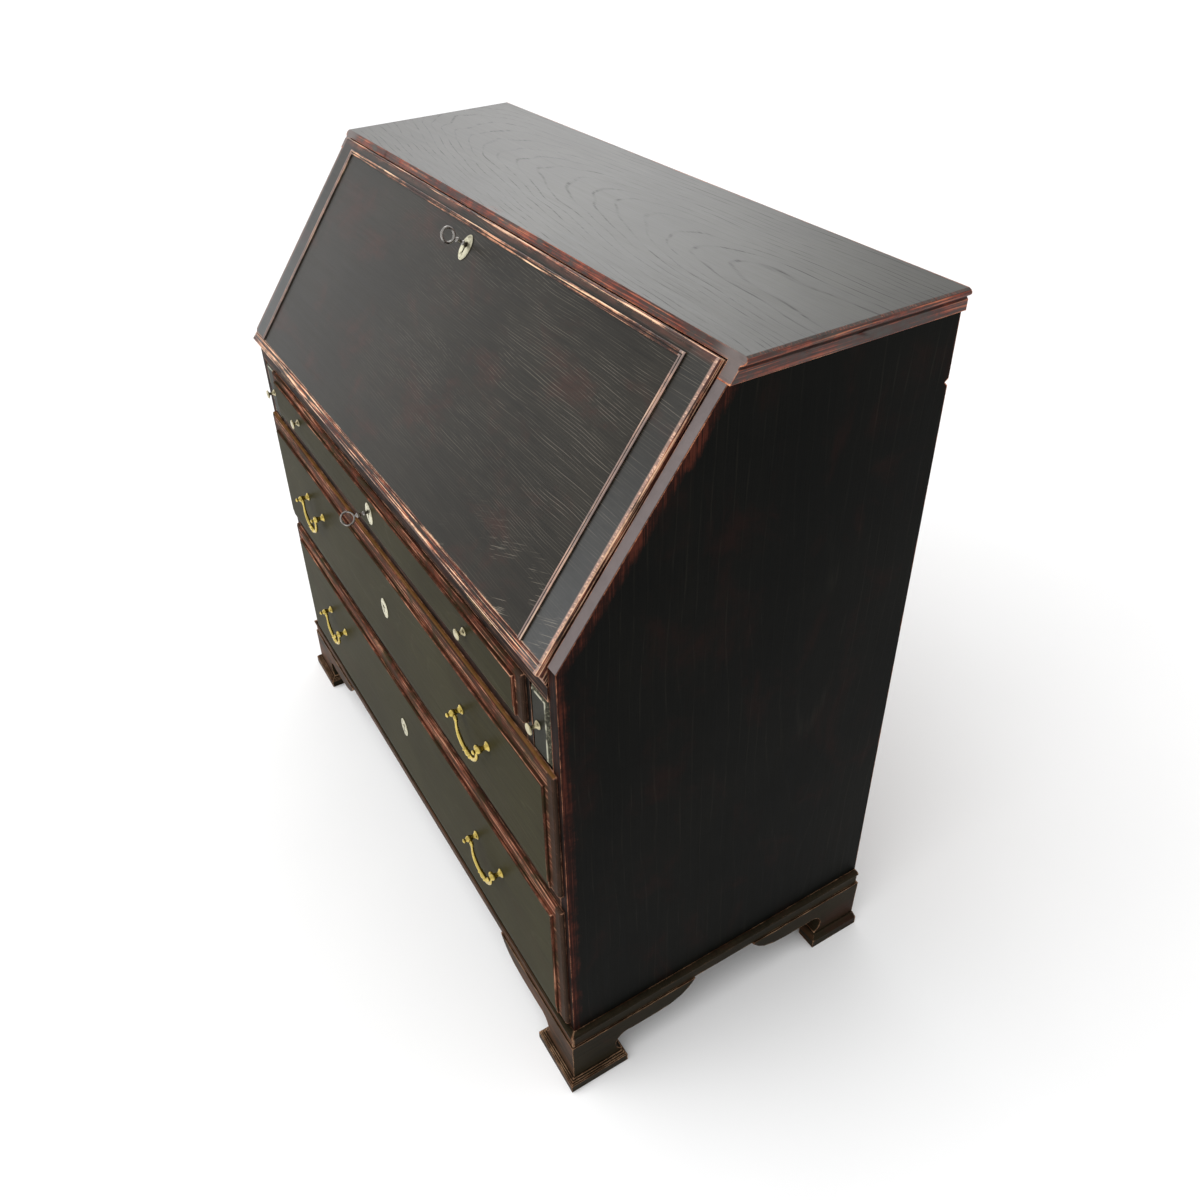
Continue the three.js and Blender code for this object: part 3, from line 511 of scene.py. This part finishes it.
def on_slant(point):
    """Turns a piece made facing +Z to stand out of the fall, at a point."""
    return Matrix.Translation(point) @ Matrix((X, UP, OUT)).transposed().to_4x4()


def mid(node):
    low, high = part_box(node)
    return (low + high) / 2


def root(node):
    """The middle of a fitting's rear side, where it stands on its board."""
    low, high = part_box(node)
    return Vector(((low.x + high.x) / 2, high.y, (low.z + high.z) / 2))


BAIL_STAND = 12  # from the drawer's face to the bail's axis
HANDLE_HALF = 36.5  # half the distance between a handle's two posts
# (radius, height)
POST = [
    (6.6, 0),
    (6.6, 1.2),
    (5, 2.2),
    (3.6, 3.4),
    (3.1, 6),
    (3.3, BAIL_STAND - 4.2),
    (4.4, BAIL_STAND - 2.6),
    (5, BAIL_STAND),
    (4.4, BAIL_STAND + 2.6),
    (2.6, BAIL_STAND + 4.4),
    (2, BAIL_STAND + 5.4),
    (3.2, BAIL_STAND + 7),
    (3, BAIL_STAND + 8.6),
    (0.4, BAIL_STAND + 9.7),
]
# (x, z, radius) from a post to near the middle
BAIL_ARM = [
    (HANDLE_HALF - 4.6, 0, 1.4),
    (HANDLE_HALF - 5.6, 0, 1.5),
    (HANDLE_HALF - 6.2, 0, 2.6),
    (HANDLE_HALF - 7.6, -1.2, 3.0),
    (HANDLE_HALF - 8.8, -4.5, 2.6),
    (HANDLE_HALF - 8.6, -9, 1.9),
    (HANDLE_HALF - 8.2, -15, 2.1),
    (HANDLE_HALF - 9.6, -22, 2.5),
    (HANDLE_HALF - 14, -29, 2.9),
    (HANDLE_HALF - 21, -34.5, 2.9),
    (HANDLE_HALF - 26.5, -36.4, 2.7),
    (HANDLE_HALF - 28, -36.8, 3.2),
    (HANDLE_HALF - 29, -37, 4.1),
    (HANDLE_HALF - 30, -37.2, 3.2),
    (HANDLE_HALF - 31.2, -37.3, 2.8),
    (2.4, -37.6, 3.6),
]
BAIL = [(-x, z, r) for x, z, r in BAIL_ARM] + [(0, -37.7, 3.9)] + BAIL_ARM[::-1]
for number in (2, 3):
    drawer = f"drawer_{number}"
    for side in SIDES:
        hung = f"{drawer}_bail_{side}"
        for end in ("inner", "outer"):
            node = f"{drawer}_post_{side}_{end}"
            post = turned(POST, 32)
            fitting("brass_" + node, [post], on_front(root(node)), BRASS, drawer, node)
        pivot = Vector(JOINTS[hung + "_swing"]["pos_m"])
        bar = swept(rounded(BAIL, 1), 16)
        fitting("brass_" + hung, [bar], Matrix.Translation(pivot), BRASS, hung, hung)


def knob(reach, radius):
    """A turned knob that stands out by reach, its disc of that radius."""
    profile = [
        (5.6, 0),
        (5.6, 1.2),
        (3.6, 2.6),
        (2.4, 4.4),
        (2.2, reach - 4.5),
        (3.4, reach - 3.2),
        (radius - 0.6, reach - 2.4),
        (radius, reach - 1.2),
        (radius - 0.9, reach - 0.2),
        (radius - 3, reach),
        (0.5, reach),
    ]
    return turned(profile)


for side in SIDES:
    for node, body, shape in (
        (f"loper_knob_{side}", f"loper_{side}", knob(reach=13, radius=7.2)),
        (f"drawer_1_knob_{side}", "drawer_1", knob(reach=11, radius=7.4)),
    ):
        fitting("brass_" + node, [shape], on_front(root(node)), NICKEL, body, node)


KEY_REACH = 30  # from a board's face to the middle of its key's bow
BOW_R = 9
BIT_H = 4


def key(inside, outside, thick=1.4):
    """A key that reaches inside and outside the board's face, its bow a ring of that thickness."""
    shaft = turned(
        [
            (2.1, -inside),
            (2.1, 4.6),
            (3.2, 5.6),
            (3.3, 6.6),
            (3.2, 7.6),
            (2.1, 8.6),
            (1.9, (outside - 7) / 2),
            (2.2, outside - 15.5),
            (3.4, outside - 14.6),
            (3.5, outside - 13.8),
            (3.3, outside - 13),
            (1.9, outside - 11.8),
            (1.7, outside - 9.4),
        ],
        24,
    )
    bow = [(BOW_R * c, outside + BOW_R * s, thick) for c, s in circle(56)]
    bit_end = BIT_H - inside
    outline = ((1.4, -inside), (6, -inside), (6, bit_end), (1.4, bit_end))
    bit = skin([[Vector((x, y, z)) for x, z in outline] for y in (1, -1)])
    return [shaft, swept(bow, 14, closed=True), bit]


def about(degrees):
    """A turn of a key in its hole."""
    return Matrix.Rotation(math.radians(degrees), 4, "Z")


EYE_R = 2.9  # the keyhole's round eye
SLOT_HALF, SLOT_LOW = 1.2, 11
OVAL = (11.6, 16.8)  # the plate's half width and half height
OVAL_DROP = 3.5  # how far the plate's middle lies below the eye


def keyhole(angle):
    """The keyhole's outline at an angle from its round eye, as (x, y)."""
    c, s = math.cos(angle), math.sin(angle)
    reach = EYE_R
    if s < 0:
        down_side = SLOT_HALF / max(abs(c), 1e-6)
        down_end = SLOT_LOW / -s
        reach = max(EYE_R, min(down_side, down_end))
    return reach * c, reach * s


def escutcheon():
    """An oval keyhole plate, slightly domed, held by two pins."""
    slot_corner = math.atan2(SLOT_LOW, SLOT_HALF)
    slot_top = math.acos(SLOT_HALF / EYE_R)
    angles = [math.tau * i / 72 for i in range(72)]
    angles += [-slot_corner, slot_corner - math.pi, -slot_top, slot_top - math.pi]
    angles = sorted(a % math.tau for a in angles)
    # (share of the way from the keyhole to the rim, height)
    section = [(1, 0), (1, 0.5), (0.97, 0.85), (0.85, 1.15), (0.6, 1.4), (0.3, 1.5), (0.08, 1.55)]
    section += [(0.0, 1.3), (0.0, 0)]
    rings = []
    for share, height in section:
        ring = []
        for a in angles:
            hole = keyhole(a)
            rim = (OVAL[0] * math.cos(a), OVAL[1] * math.sin(a) - OVAL_DROP)
            ring.append(
                Vector([hole[k] + (rim[k] - hole[k]) * share for k in (0, 1)] + [height])
            )
        rings.append(ring)
    plate = skin(rings, closed=True)
    pin = turned([(0.95, 0.6), (0.95, 1.5), (0.6, 1.95), (0.1, 2.05)], 12, 1)
    pins = [
        ([p + Vector((0, sign * (OVAL[1] - 2.6) - OVAL_DROP, 0)) for p in pin[0]], pin[1])
        for sign in (1, -1)
    ]
    return [plate, *pins]


FALL_KEY_AT = Vector(JOINTS["fall_key_turn"]["pos_m"])
DRAWER_KEY_AT = Vector(JOINTS["drawer_1_key_turn"]["pos_m"])
for node, shells, place in (
    ("fall_key", key(15.9, KEY_REACH, 1.8), on_slant(FALL_KEY_AT) @ about(-73)),
    ("drawer_1_key", key(29, KEY_REACH), on_front(DRAWER_KEY_AT) @ about(-52)),
):
    fitting("steel_" + node, shells, place, STEEL, node, node)
node = "fall_escutcheon"
fall_plate_at = FALL_KEY_AT + OUT * 0.3 * MM
fitting("brass_" + node, escutcheon(), on_slant(fall_plate_at), PLATE, "fall", node)
for number in (1, 2, 3):
    node = f"drawer_{number}_escutcheon"
    at = root(node) + Z * OVAL_DROP * MM
    fitting("brass_" + node, escutcheon(), on_front(at), PLATE, f"drawer_{number}", node)


# ---------------------------------------------------------------- finishes of the CAD nodes
def paint(material, *names):
    """Gives the named CAD nodes one material."""
    for name in names:
        for one in NODES[name].material_slots:
            one.material = material


FALL_AT, TOP_AT = mid("fall_board"), mid("top_board")
GABLE_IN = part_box("gable_right")[0].x
GABLE_THICK = 16 * MM
FIELD_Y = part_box("drawer_1_front")[0].y


def from_middle(s):
    """The distance to the left or right of the desk's middle."""
    return s.math("ABSOLUTE", s.apart(s.place)[0])


def over_gable(s):
    """1 above the gables, less towards the desk's middle."""
    return s.step(from_middle(s), GABLE_IN - 30 * MM, GABLE_IN)


def top_kept(s):
    """All but the top's front and side mouldings, and its bevel where it lies over the gables."""
    ends = s.times(over_gable(s), facing(OUT)(s), 0.8)
    return s.math("MAXIMUM", facing(Z, -Z, Y)(s), ends)


def top_end_reflection(s):
    """The ends of the top's front bevel, which carry on the gables' slanted edges and their painted
    grey reflection.
    """
    return s.times(over_gable(s), facing(OUT)(s), 0.85)


paint(
    oak(
        "oak_top",
        either(facing_side, laid(X, Y, Z, TOP_AT), laid(Y, X, Z, TOP_AT)),
        heart=(0.02, -0.09),
        tilt=0.1,
        swing=0.05,
        pitch=0.0065,
        bow=0.04,
        seed=2.1,
        dark=rgb(48, 47, 44),
        light=rgb(68, 67, 62),
        stained=0.0,
        lines=0.9,
        line_tone=rgb(14, 13, 11),
        lines_matt=0.75,
        kept=top_kept,
        edge=0.006,
        wear=0.75,
        moulded=0.85,
        worn=rgb(66, 28, 22),
        rust=rgb(146, 66, 44),
        rubbed=rgb(226, 156, 112),
        arris_reach=1.8 * MM,
        arris=1.0,
        patchy=0.4,
        # painted grey reflection on the ends of the front bevel
        tinted=[(top_end_reflection, rgb(118, 108, 105))],
    ),
    "top_board",
)


GABLE_FRONT, GABLE_REAR = (corner.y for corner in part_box("gable_right"))
SLANT_AT = max(corner.co.dot(OUT) for corner in NODES["gable_right"].data.vertices)


def brushed(s):
    """Near the gable's front and slanted edges, and a little near its rear edge."""
    y = s.apart(s.place)[1]
    in_front = s.math("SUBTRACT", y, GABLE_FRONT)
    under_slant = s.math("SUBTRACT", SLANT_AT, s.dot(s.place, OUT))
    front = s.step(s.math("MINIMUM", in_front, under_slant), 34 * MM, 0.0)
    rear = s.step(s.math("SUBTRACT", GABLE_REAR, y), 12 * MM, 0.0, 0.0, 0.6)
    return s.math("MAXIMUM", front, rear)


def slant_edge_reflection(s):
    """The gable's slanted front edge, but for its worn arris, with a grey reflection painted on it.
    """
    arris_x = GABLE_IN + GABLE_THICK
    off_arris = s.step(from_middle(s), arris_x - 0.6 * MM, arris_x - 1.6 * MM)
    return s.times(facing(OUT)(s), off_arris)


for side, sign in SIDES.items():
    paint(
        oak(
            "oak_gable_" + side,
            laid(Z, Y, X * sign, mid("gable_" + side)),
            heart=(0.1, -0.05),
            tilt=0.08,
            pitch=0.014,
            seed=5.0 + sign,
            dark=rgb(5, 6, 5),
            light=rgb(14, 14, 11),
            stain=rgb(36, 15, 11),
            stained=0.4,
            lines=0.18,
            line_tone=rgb(48, 45, 38),
            kept=facing(X * sign, OUT),
            near_by=brushed,
            wear=0.78,
            ragged=0.25,
            moulded=0.4,
            worn=rgb(35, 16, 12),
            rust=rgb(74, 35, 25),
            rubbed=rgb(222, 150, 112),
            threads=0.0,
            arris_reach=1.6 * MM,
            arris=1.0,
            patchy=0.35,
            gloss=0.03,
            shine=0.5,
            # painted grey reflection on the slanted front edge
            tinted=[(slant_edge_reflection, rgb(120, 111, 110))],
        ),
        "gable_" + side,
    )


def on_fall(s):
    """How far a point of the fall is to the right of its middle, and how far up from it."""
    return s.apart(s.place)[0], s.add(s.dot(s.place, UP), -FALL_AT.dot(UP))


def ring_glint_area(s):
    """The part of the fall, to the right and high up, where its year rings are painted as pale
    glints.
    """
    along, height = on_fall(s)
    return s.times(s.step(along, -0.35, 0.3), s.step(height, -0.16, -0.02, 0.25, 1.0))


def low_right(s):
    """The fall's lower right corner, which is scratched."""
    along, height = on_fall(s)
    there = s.times(s.step(along, 0.2, 0.36), s.step(height, -0.06, -0.13))
    return s.times(there, facing(OUT)(s), 0.8)


# how far up the slant the fall's bead reaches
BEAD_TOP = max(Vector(c).dot(UP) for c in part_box("fall_bead"))


def upper_margin(s):
    """1 above the fall's bead, less below it."""
    return s.step(s.dot(s.place, UP), BEAD_TOP - 8 * MM, BEAD_TOP, 0.45, 1.0)


def above_bead(s):
    """Rubbed patches between the fall's bead and its upper edge."""
    above = s.step(s.dot(s.place, UP), BEAD_TOP, BEAD_TOP + 6 * MM)
    patches = s.noise(s.scaled(s.place, (8, 40, 40)), detail=5, roughness=0.7)
    return s.times(above, s.step(patches, 0.4, 0.62), facing(OUT)(s), 0.6)


def side_margin_sheen(s):
    """The fall's borders beside the bead's legs, with a grey sheen painted in, most of all low
    down.
    """
    bead_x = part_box("fall_bead")[1].x
    sheen_share = s.step(on_fall(s)[1], -0.12, 0.14, 0.32, 0.08)
    return s.times(s.step(from_middle(s), bead_x, bead_x + 4 * MM), facing(OUT)(s), sheen_share)


def side_arris_highlight(s):
    """The rounded arrises of the fall's two sides, with a pale highlight painted along them."""
    side_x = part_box("fall_board")[1].x
    near = s.step(from_middle(s), side_x - 5 * MM, side_x - 3 * MM)
    return s.times(near, s.step(s.dot(s.facing, OUT), 0.4, 0.7), 0.5)


paint(
    oak(
        "oak_fall",
        either(facing_side, laid(X, UP, OUT, FALL_AT), laid(UP, X, OUT, FALL_AT)),
        heart=(0.5, -0.06),
        tilt=0.1,
        bow=0.3,
        swing=0.05,
        pitch=0.0031,
        seed=8.3,
        dark=rgb(25, 23, 19),
        light=rgb(41, 38, 32),
        stain=rgb(58, 32, 26),
        stained=0.6,
        lines=0.55,
        # painted glints: the year rings drawn in this pale tone on the right and high up; the
        # scratches take it too
        line_tone=rgb(128, 120, 108),
        lines_where=ring_glint_area,
        kept=facing(OUT, -OUT, low=0.97, high=0.995),
        edge=0.01,
        wear=0.62,
        handled=upper_margin,
        moulded=0.9,
        worn=rgb(72, 34, 28),
        rust=rgb(186, 106, 74),
        rubbed=rgb(246, 206, 170),
        threads=1.0,
        threads_from=0.52,
        scratched=low_right,
        gloss=0.25,
        shine=0.42,
        tinted=[
            # painted grey sheen on the borders beside the bead's legs
            (side_margin_sheen, rgb(118, 121, 123)),
            (above_bead, rgb(112, 72, 60)),
            # painted pale highlight along the side arrises
            (side_arris_highlight, rgb(214, 180, 164)),
        ],
    ),
    "fall_board",
)


def on_side_leg(s):
    """1 on the bead's two legs that run up the slant."""
    return s.math("GREATER_THAN", from_middle(s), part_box("fall_bead")[1].x - 8 * MM)


def bead_leg_sheen(s):
    """The legs' ridges, with a pale sheen painted on them."""
    return s.times(on_side_leg(s), s.math("SUBTRACT", 1.0, between_ridges(s)), 0.6)


def between_ridges(s):
    """1 in the bead's valleys and on its feet, 0 on its two ridges."""
    height = s.add(s.dot(s.place, OUT), -FALL_KEY_AT.dot(OUT))
    return s.step(height, 2.2 * MM, 1.7 * MM)


paint(
    oak(
        "oak_bead",
        either(on_side_leg, laid(X, UP, OUT, FALL_AT), laid(UP, X, OUT, FALL_AT)),
        seed=1.7,
        kept=between_ridges,
        edge=0.002,
        arris_reach=1.0 * MM,
        wear=0.2,
        moulded=1.0,
        stained=0.5,
        dark=rgb(20, 17, 15),
        light=rgb(34, 29, 25),
        worn=rgb(70, 40, 30),
        rust=rgb(214, 152, 116),
        rubbed=rgb(246, 214, 176),
        threads=1.0,
        arris=0.4,
        # painted pale sheen on the ridges of the bead's legs
        tinted=[(bead_leg_sheen, rgb(176, 156, 148))],
    ),
    "fall_bead",
)


def field_kept(s):
    """The raised field of a drawer's front, without the lip round it."""
    return s.times(facing(-Y)(s), s.step(s.apart(s.place)[1], FIELD_Y + 3 * MM, FIELD_Y + 2 * MM))


def side_lips(number):
    """The lips at the two sides of a drawer's front, which hands seldom touch."""
    side_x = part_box(f"drawer_{number}_front")[1].x

    def share(s):
        return s.step(from_middle(s), side_x - 14 * MM, side_x - 11 * MM, 0.0, 0.75)

    return share


def drawer_kept(number):
    """Where a drawer's front has kept its finish."""

    def share(s):
        return s.math("MAXIMUM", field_kept(s), side_lips(number)(s))

    return share


def lip_top(s):
    """The upper side of the middle drawer's lip."""
    height = s.apart(s.place)[2]
    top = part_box("drawer_2_front")[1].z
    return s.times(facing(Z)(s), s.step(height, top - 2 * MM, top - 1 * MM), 0.9)


for number in (1, 2, 3):
    node = f"drawer_{number}_front"
    at = mid(node)
    paint(
        oak(
            "oak_" + node,
            either(facing_side, laid(X, Z, Y, at), laid(Z, X, Y, at)),
            seed=11.0 + number,
            dark=rgb(41, 38, 24),
            light=rgb(55, 52, 34),
            stained=0.1,
            lines=0.12,
            line_tone=rgb(96, 92, 76),
            kept=drawer_kept(number),
            edge=0.004,
            wear=0.35,
            moulded=0.85,
            worn=rgb(60, 30, 26),
            rust=rgb(120, 66, 50),
            threads=0.7,
            gloss=0.01,
            tinted=[
                (side_lips(number), rgb(60, 44, 38)),
                (facing(Y), rgb(132, 94, 58)),
                *([(lip_top, rgb(120, 84, 46))] if number == 2 else []),
            ],
        ),
        node,
    )
paint(
    oak(
        "oak_rails",
        laid(X, Z, Y, (0, 0, 0.6)),
        seed=3.3,
        dark=rgb(9, 8, 7),
        light=rgb(18, 15, 12),
        kept=facing(Z, -Z),
        edge=0.003,
        wear=0.4,
        moulded=0.3,
        worn=rgb(46, 28, 22),
        rust=rgb(92, 60, 48),
        threads=0.6,
        stained=0.6,
        gloss=0.02,
    ),
    "rail_upper",
    "rail_middle",
    "bottom_board",
    "writing_board",
)
paint(
    oak(
        "oak_partitions",
        laid(Z, Y, X, (0, 0, 0.6)),
        seed=3.9,
        dark=rgb(13, 11, 9),
        light=rgb(26, 21, 17),
        edge=0.003,
        wear=0.2,
        moulded=0.3,
        worn=rgb(44, 27, 21),
        rust=rgb(86, 54, 42),
        arris=0.5,
        stained=0.5,
        gloss=0.05,
    ),
    "partition_left",
    "partition_right",
)
LOPER_LOW, LOPER_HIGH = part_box("loper_right")
LOPER_BEVEL = 8 * MM


def nose_arris(s):
    """The arrises round the lopers' bevelled noses, scuffed pale."""
    _, y, z = s.apart(s.place)
    beside = s.math("SUBTRACT", from_middle(s), LOPER_HIGH.x - LOPER_BEVEL)
    over = s.math("SUBTRACT", z, LOPER_HIGH.z - LOPER_BEVEL)
    from_line = s.math("ABSOLUTE", s.math("MAXIMUM", beside, over))
    broken = s.step(s.noise(s.scaled(s.place, (160, 1, 60)), detail=3), 0.38, 0.56)
    line = s.step(from_line, 1.6 * MM, 0.5 * MM)
    return s.times(line, broken, s.step(y, LOPER_LOW.y + 3 * MM, LOPER_LOW.y + 2 * MM), 0.8)


paint(
    oak(
        "oak_lopers",
        laid(Y, X, Z, (0, 0, 0.63)),
        seed=4.4,
        dark=rgb(26, 26, 20),
        light=rgb(42, 42, 33),
        edge=0.005,
        wear=0.3,
        moulded=0.4,
        stained=0.1,
        worn=rgb(66, 65, 53),
        rust=rgb(120, 117, 97),
        rubbed=rgb(206, 202, 180),
        kept=facing(-Y, X, -X, Z, -Z),
        arris_reach=2.0 * MM,
        arris=0.9,
        patchy=0.5,
        gloss=0.04,
        tinted=[(nose_arris, rgb(206, 204, 182))],
    ),
    "loper_left",
    "loper_right",
)


def base_front(s):
    """The front of the base, which feet have scuffed brown."""
    scuffs = s.noise(s.scaled(s.place, (9, 9, 60)), detail=5, roughness=0.65)
    return s.times(facing(-Y, low=0.5, high=0.8)(s), s.step(scuffs, 0.36, 0.62), 0.7)


paint(
    oak(
        "oak_base",
        either(facing_side, laid(X, Z, Y, (0, 0, 0)), laid(Y, Z, X, (0, 0, 0))),
        seed=6.6,
        dark=rgb(24, 21, 14),
        light=rgb(43, 37, 26),
        edge=0.004,
        wear=0.4,
        worn=rgb(52, 28, 20),
        rust=rgb(104, 66, 46),
        rubbed=rgb(186, 148, 116),
        gloss=0.02,
        tinted=[(base_front, rgb(104, 70, 50))],
    ),
    *(f"foot_{end}_{side}" for end in ("front", "rear") for side in SIDES),
    "plinth_left",
    "plinth_right",
    "plinth_front",
)
INNER = dict(
    dark=rgb(74, 48, 28),
    light=rgb(124, 86, 52),
    stain=rgb(62, 36, 22),
    stained=0.35,
    lines=0.4,
    line_tone=rgb(70, 44, 24),
    edge=0.003,
    wear=0.3,
    worn=rgb(110, 74, 44),
    rust=rgb(140, 98, 62),
    rubbed=rgb(176, 138, 98),
    shine=0.55,
    gloss=0.2,
)
paint(
    oak("oak_inner", laid(X, Z, Y, (0, 0, 0.8)), seed=7.2, **INNER),
    "gallery",
    *(f"gallery_drawer_{s}" for s in ("left", "middle", "right")),
)
paint(
    oak("oak_boxes", laid(Y, Z, X, (0, 0, 0.4)), seed=9.9, **INNER),
    *(f"drawer_{n}_box" for n in (1, 2, 3)),
)
paint(oak("oak_back", laid(Z, X, Y, (0, 0.26, 0.5)), seed=13.0, **INNER), "back_panel")
paint(HIDDEN_BRASS, *(n for n in NODES if n.startswith("hinge_")))
paint(LOCK_STEEL, "fall_lock", "fall_bolt", "drawer_1_lock")


# ---------------------------------------------------------------- camera, light, floor
def look(location, forward, up):
    """A matrix at location that looks along forward, with up as near to up as it can be."""
    back = -Vector(forward).normalized()
    right = Vector(up).cross(back).normalized()
    turn = Matrix((right, back.cross(right), back)).transposed().to_4x4()
    return Matrix.Translation(location) @ turn


EYE = Vector((1.1544, -0.5669, 1.4214))
AHEAD = Vector((-0.72408, 0.39277, -0.56696))
TOWARDS_TOP = Vector((-0.4761, 0.3102, 0.8229))
camera_data = bpy.data.cameras.new("camera")
camera_data.sensor_width = 36
camera_data.lens = 31.63
camera_data.shift_x = 0.0353
camera_data.shift_y = -0.062
camera_data.clip_end = 100
camera = bpy.data.objects.new("camera", camera_data)
camera.matrix_world = look(EYE, AHEAD, TOWARDS_TOP)
bpy.context.scene.collection.objects.link(camera)
bpy.context.scene.camera = camera


def area_light(name, location, target, size, power):
    data = bpy.data.lights.new(name, "AREA")
    data.shape = "DISK"
    data.size = size
    data.energy = power
    made = bpy.data.objects.new(name, data)
    made.matrix_world = look(Vector(location), Vector(target) - Vector(location), (0, 0, 1))
    bpy.context.scene.collection.objects.link(made)
    return made


# the sheen lights show only in what the desk reflects, and the key light only where it falls
sheen = area_light("sheen_light", (-2.6, 1.5, 3.1), (0, 0, 0.9), 2.8, 62)
low_sheen = area_light("low_sheen_light", (-3.1, -1.35, 1.25), (-0.3, -0.15, 0.8), 1.7, 6)
for light in (sheen, low_sheen):
    light.visible_diffuse = False
main = area_light("key_light", (-0.7, -3.2, 3.0), (0, 0, 0.4), 2.6, 30)
main.visible_glossy = False
sun_data = bpy.data.lights.new("sun", "SUN")
sun_data.energy = 1.7
sun_data.angle = math.radians(60)
sun = bpy.data.objects.new("sun", sun_data)
sun.matrix_world = look(Vector((-2, -1, 5)), (0.12, 0.6, -1), (0, 1, 0))
sun.visible_glossy = False
bpy.context.scene.collection.objects.link(sun)
world = bpy.data.worlds.new("studio")
world.use_nodes = True
world.node_tree.nodes["Background"].inputs["Color"].default_value = (1, 1, 1, 1)
world.node_tree.nodes["Background"].inputs["Strength"].default_value = 0.8
bpy.context.scene.world = world
bpy.context.scene.view_settings.view_transform = "Standard"

FLOOR_REACH = 30
floor_mesh = bpy.data.meshes.new("floor")
floor_mesh.from_pydata(
    [(x * FLOOR_REACH, y * FLOOR_REACH, 0) for x, y in ((-1, -1), (1, -1), (1, 1), (-1, 1))],
    [],
    [(0, 1, 2, 3)],
)
floor = bpy.data.objects.new("floor", floor_mesh)
floor_paint = Shader("floor_white")
speckle = floor_paint.noise(floor_paint.place, scale=3, detail=2)
floor_tone = floor_paint.blend(speckle, (0.86, 0.86, 0.86, 1), (0.89, 0.89, 0.89, 1))
floor_mesh.materials.append(floor_paint.finish(Base_Color=floor_tone, Roughness=0.7))
bpy.context.scene.collection.objects.link(floor)
